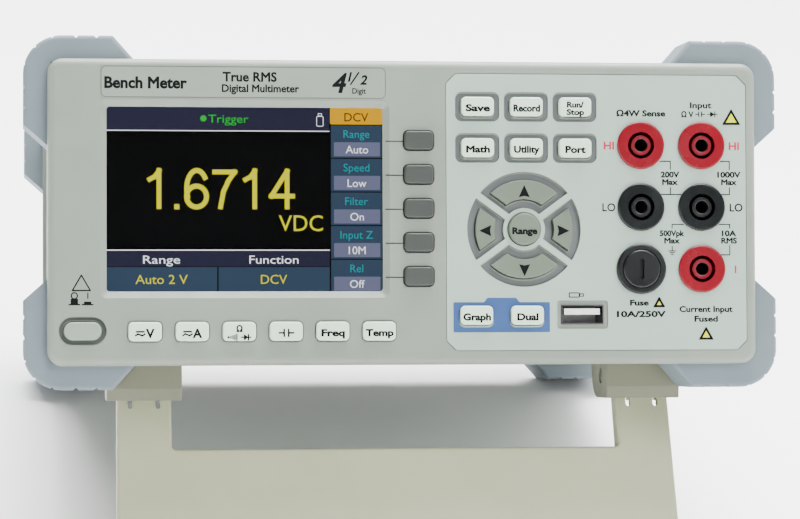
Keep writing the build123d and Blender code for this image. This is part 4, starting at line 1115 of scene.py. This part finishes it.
class METER_OT_rear_legends(bpy.types.Operator):
    """Print the names of the rear sockets"""

    bl_idname = "meter.rear_legends"
    bl_label = "Rear legends"

    def execute(self, context):
        ink = printed("rear_ink", paints().print_dark)
        rear = Drawing()

        def above(node, text, rise, width, cap=2.2, shift=0.0):
            u, v = centre_of(node)
            rear.words(text, -u + shift, v + rise, cap, width, 0.01)

        above("ac_inlet", "AC Input", 18.2, 13.0)
        above("mains_fuse_drawer", "Fuse", -8.6, 6.0)
        above("voltage_selector", "Line Select", 5.6, 16.0, 2.0, -2.0)
        above("serial_socket", "Serial", 9.6, 9.0)
        for text, u, v, width in (
            ("Network", -6.0, -18.6, 12.0),
            ("Device", 20.0, -21.0, 10.0),
            ("Trig In", -93.0, -14.6, 9.6),
            ("Trig Out", -74.0, -14.6, 11.4),
        ):
            rear.words(text, u, v, 2.0, width, 0.01)
        rear.framed(tile_face(0, -35.6, 170.0, 0.9), 0.2)
        rear.finish("rear_print", ink, "rear_plastic", side=REAR)
        return {"FINISHED"}


# ---------------------------------------------------------------- studio
EYE = Vector((-115.0, -908.0, -41.3))  # camera in the meter's own frame, in millimetres
YAW, PITCH, ROLL = 0.1236, -0.0294, 0.0036
HAZE = (4.2, 0.26, 0.08, 0.3)  # brightness at the horizon and overhead, and where one turns into the other
FADE = (0.0, 3.9, 1.6, 4.2)  # glow of the floor near the meter and far off, and the distances of the two


def lay_floor(scene):
    """Pale floor that glows more and more with distance, so that it runs into the horizon."""
    part = bmesh.new()
    place = Matrix.Translation((0, sizes().floor / 4, CAD_BOX[0][2]))
    bmesh.ops.create_grid(part, x_segments=1, y_segments=1, size=sizes().floor / 2, matrix=place)
    mesh = bpy.data.meshes.new("studio_floor")
    part.to_mesh(mesh)
    part.free()
    paper = moulded("studio_paper", (0.92, 0.92, 0.92), 0.8, 300.0, 0.02, 0.05, 0.005)
    mesh.materials.append(paper)
    tree = paper.node_tree
    shader = tree.nodes["Principled BSDF"]
    away = tree.nodes.new("ShaderNodeVectorMath")
    away.operation = "LENGTH"
    tree.links.new(own_place(tree), away.inputs["Vector"])
    shader.inputs["Emission Color"].default_value = (1, 1, 1, 1)
    tree.links.new(spread(tree, away.outputs["Value"], *FADE), shader.inputs["Emission Strength"])
    floor = bpy.data.objects.new("studio_floor", mesh)
    scene.collection.objects.link(floor)


def light_sky(scene):
    """White surroundings, bright at the horizon and dim overhead."""
    world = scene.world or bpy.data.worlds.new("studio")
    scene.world = world
    world.use_nodes = True
    tree = world.node_tree
    sky = tree.nodes["Background"]
    sky.inputs["Color"].default_value = (1, 1, 1, 1)
    upward = tree.nodes.new("ShaderNodeSeparateXYZ")
    tree.links.new(tree.nodes.new("ShaderNodeTexCoord").outputs["Generated"], upward.inputs["Vector"])
    tree.links.new(spread(tree, upward.outputs["Z"], *HAZE), sky.inputs["Strength"])


def hang_lamps(scene):
    """Three square soft lights, each aimed at one point."""
    middle = (Vector(CAD_BOX[0]) + Vector(CAD_BOX[1])) / 2
    lamps = (
        ("sky_light", (0.0, 2.3, 3.2), (0.0, 2.3, 0.0), 4.0, 640.0),
        ("top_light", (0.2, 0.1, 1.7), middle, 0.9, 90.0),
        ("key_light", (0.9, -1.4, 1.7), middle, 1.1, 50.0),
    )
    for name, spot, aim, size, power in lamps:
        data = bpy.data.lights.new(name, "AREA")
        data.shape = "SQUARE"
        data.size = size
        data.energy = power
        lamp = bpy.data.objects.new(name, data)
        scene.collection.objects.link(lamp)
        lamp.location = spot
        lamp.rotation_euler = (Vector(aim) - Vector(spot)).to_track_quat("-Z", "Y").to_euler()


def set_camera(scene):
    """Camera in front of the panel, to the left of its middle and below it."""
    data = bpy.data.cameras.new("camera")
    data.sensor_width = 36.0
    data.lens = sizes().lens
    data.clip_start = 0.01
    data.clip_end = 50.0
    camera = bpy.data.objects.new("camera", data)
    scene.collection.objects.link(camera)
    look = (
        Matrix.Rotation(math.pi / 2, 4, "X")
        @ Matrix.Rotation(-YAW, 4, "Y")
        @ Matrix.Rotation(-PITCH, 4, "X")
        @ Matrix.Rotation(-ROLL, 4, "Z")
    )
    camera.matrix_world = PANEL @ Matrix.Translation(EYE * MM) @ look
    scene.camera = camera


class METER_OT_stage(bpy.types.Operator):
    """Set up the pale floor, the soft lights and the camera"""

    bl_idname = "meter.stage"
    bl_label = "Studio"

    def execute(self, context):
        for part in (lay_floor, light_sky, hang_lamps, set_camera):
            part(context.scene)
        return {"FINISHED"}


class METER_PT_panel(bpy.types.Panel):
    """Lists the meter's parts in the sidebar"""

    bl_idname = "METER_PT_panel"
    bl_label = "Bench Multimeter"
    bl_space_type = "VIEW_3D"
    bl_region_type = "UI"
    bl_category = "Multimeter"

    def draw(self, context):
        layout = self.layout
        for operator in OPERATORS:
            layout.operator(operator.bl_idname)
        for group in (context.scene.meter_sizes, context.scene.meter_paints, context.scene.meter_glow):
            for name in group.__annotations__:
                layout.prop(group, name)


OPERATORS = (
    METER_OT_stage,
    METER_OT_case,
    METER_OT_keys,
    METER_OT_terminals,
    METER_OT_inside,
    METER_OT_display,
    METER_OT_fields,
    METER_OT_key_legends,
    METER_OT_panel_legends,
    METER_OT_jack_collars,
    METER_OT_rear_legends,
)
CLASSES = (MeterPaints, MeterGlow, MeterSizes, *OPERATORS, METER_PT_panel)


def register():
    for item in CLASSES:
        bpy.utils.register_class(item)
    bpy.types.Scene.meter_paints = PointerProperty(type=MeterPaints)
    bpy.types.Scene.meter_glow = PointerProperty(type=MeterGlow)
    bpy.types.Scene.meter_sizes = PointerProperty(type=MeterSizes)


def unregister():
    del bpy.types.Scene.meter_sizes
    del bpy.types.Scene.meter_glow
    del bpy.types.Scene.meter_paints
    for item in reversed(CLASSES):
        bpy.utils.unregister_class(item)


def main():
    register()
    for operator in OPERATORS:
        group, name = operator.bl_idname.split(".")
        getattr(getattr(bpy.ops, group), name)()


if __name__ == "__main__":
    main()
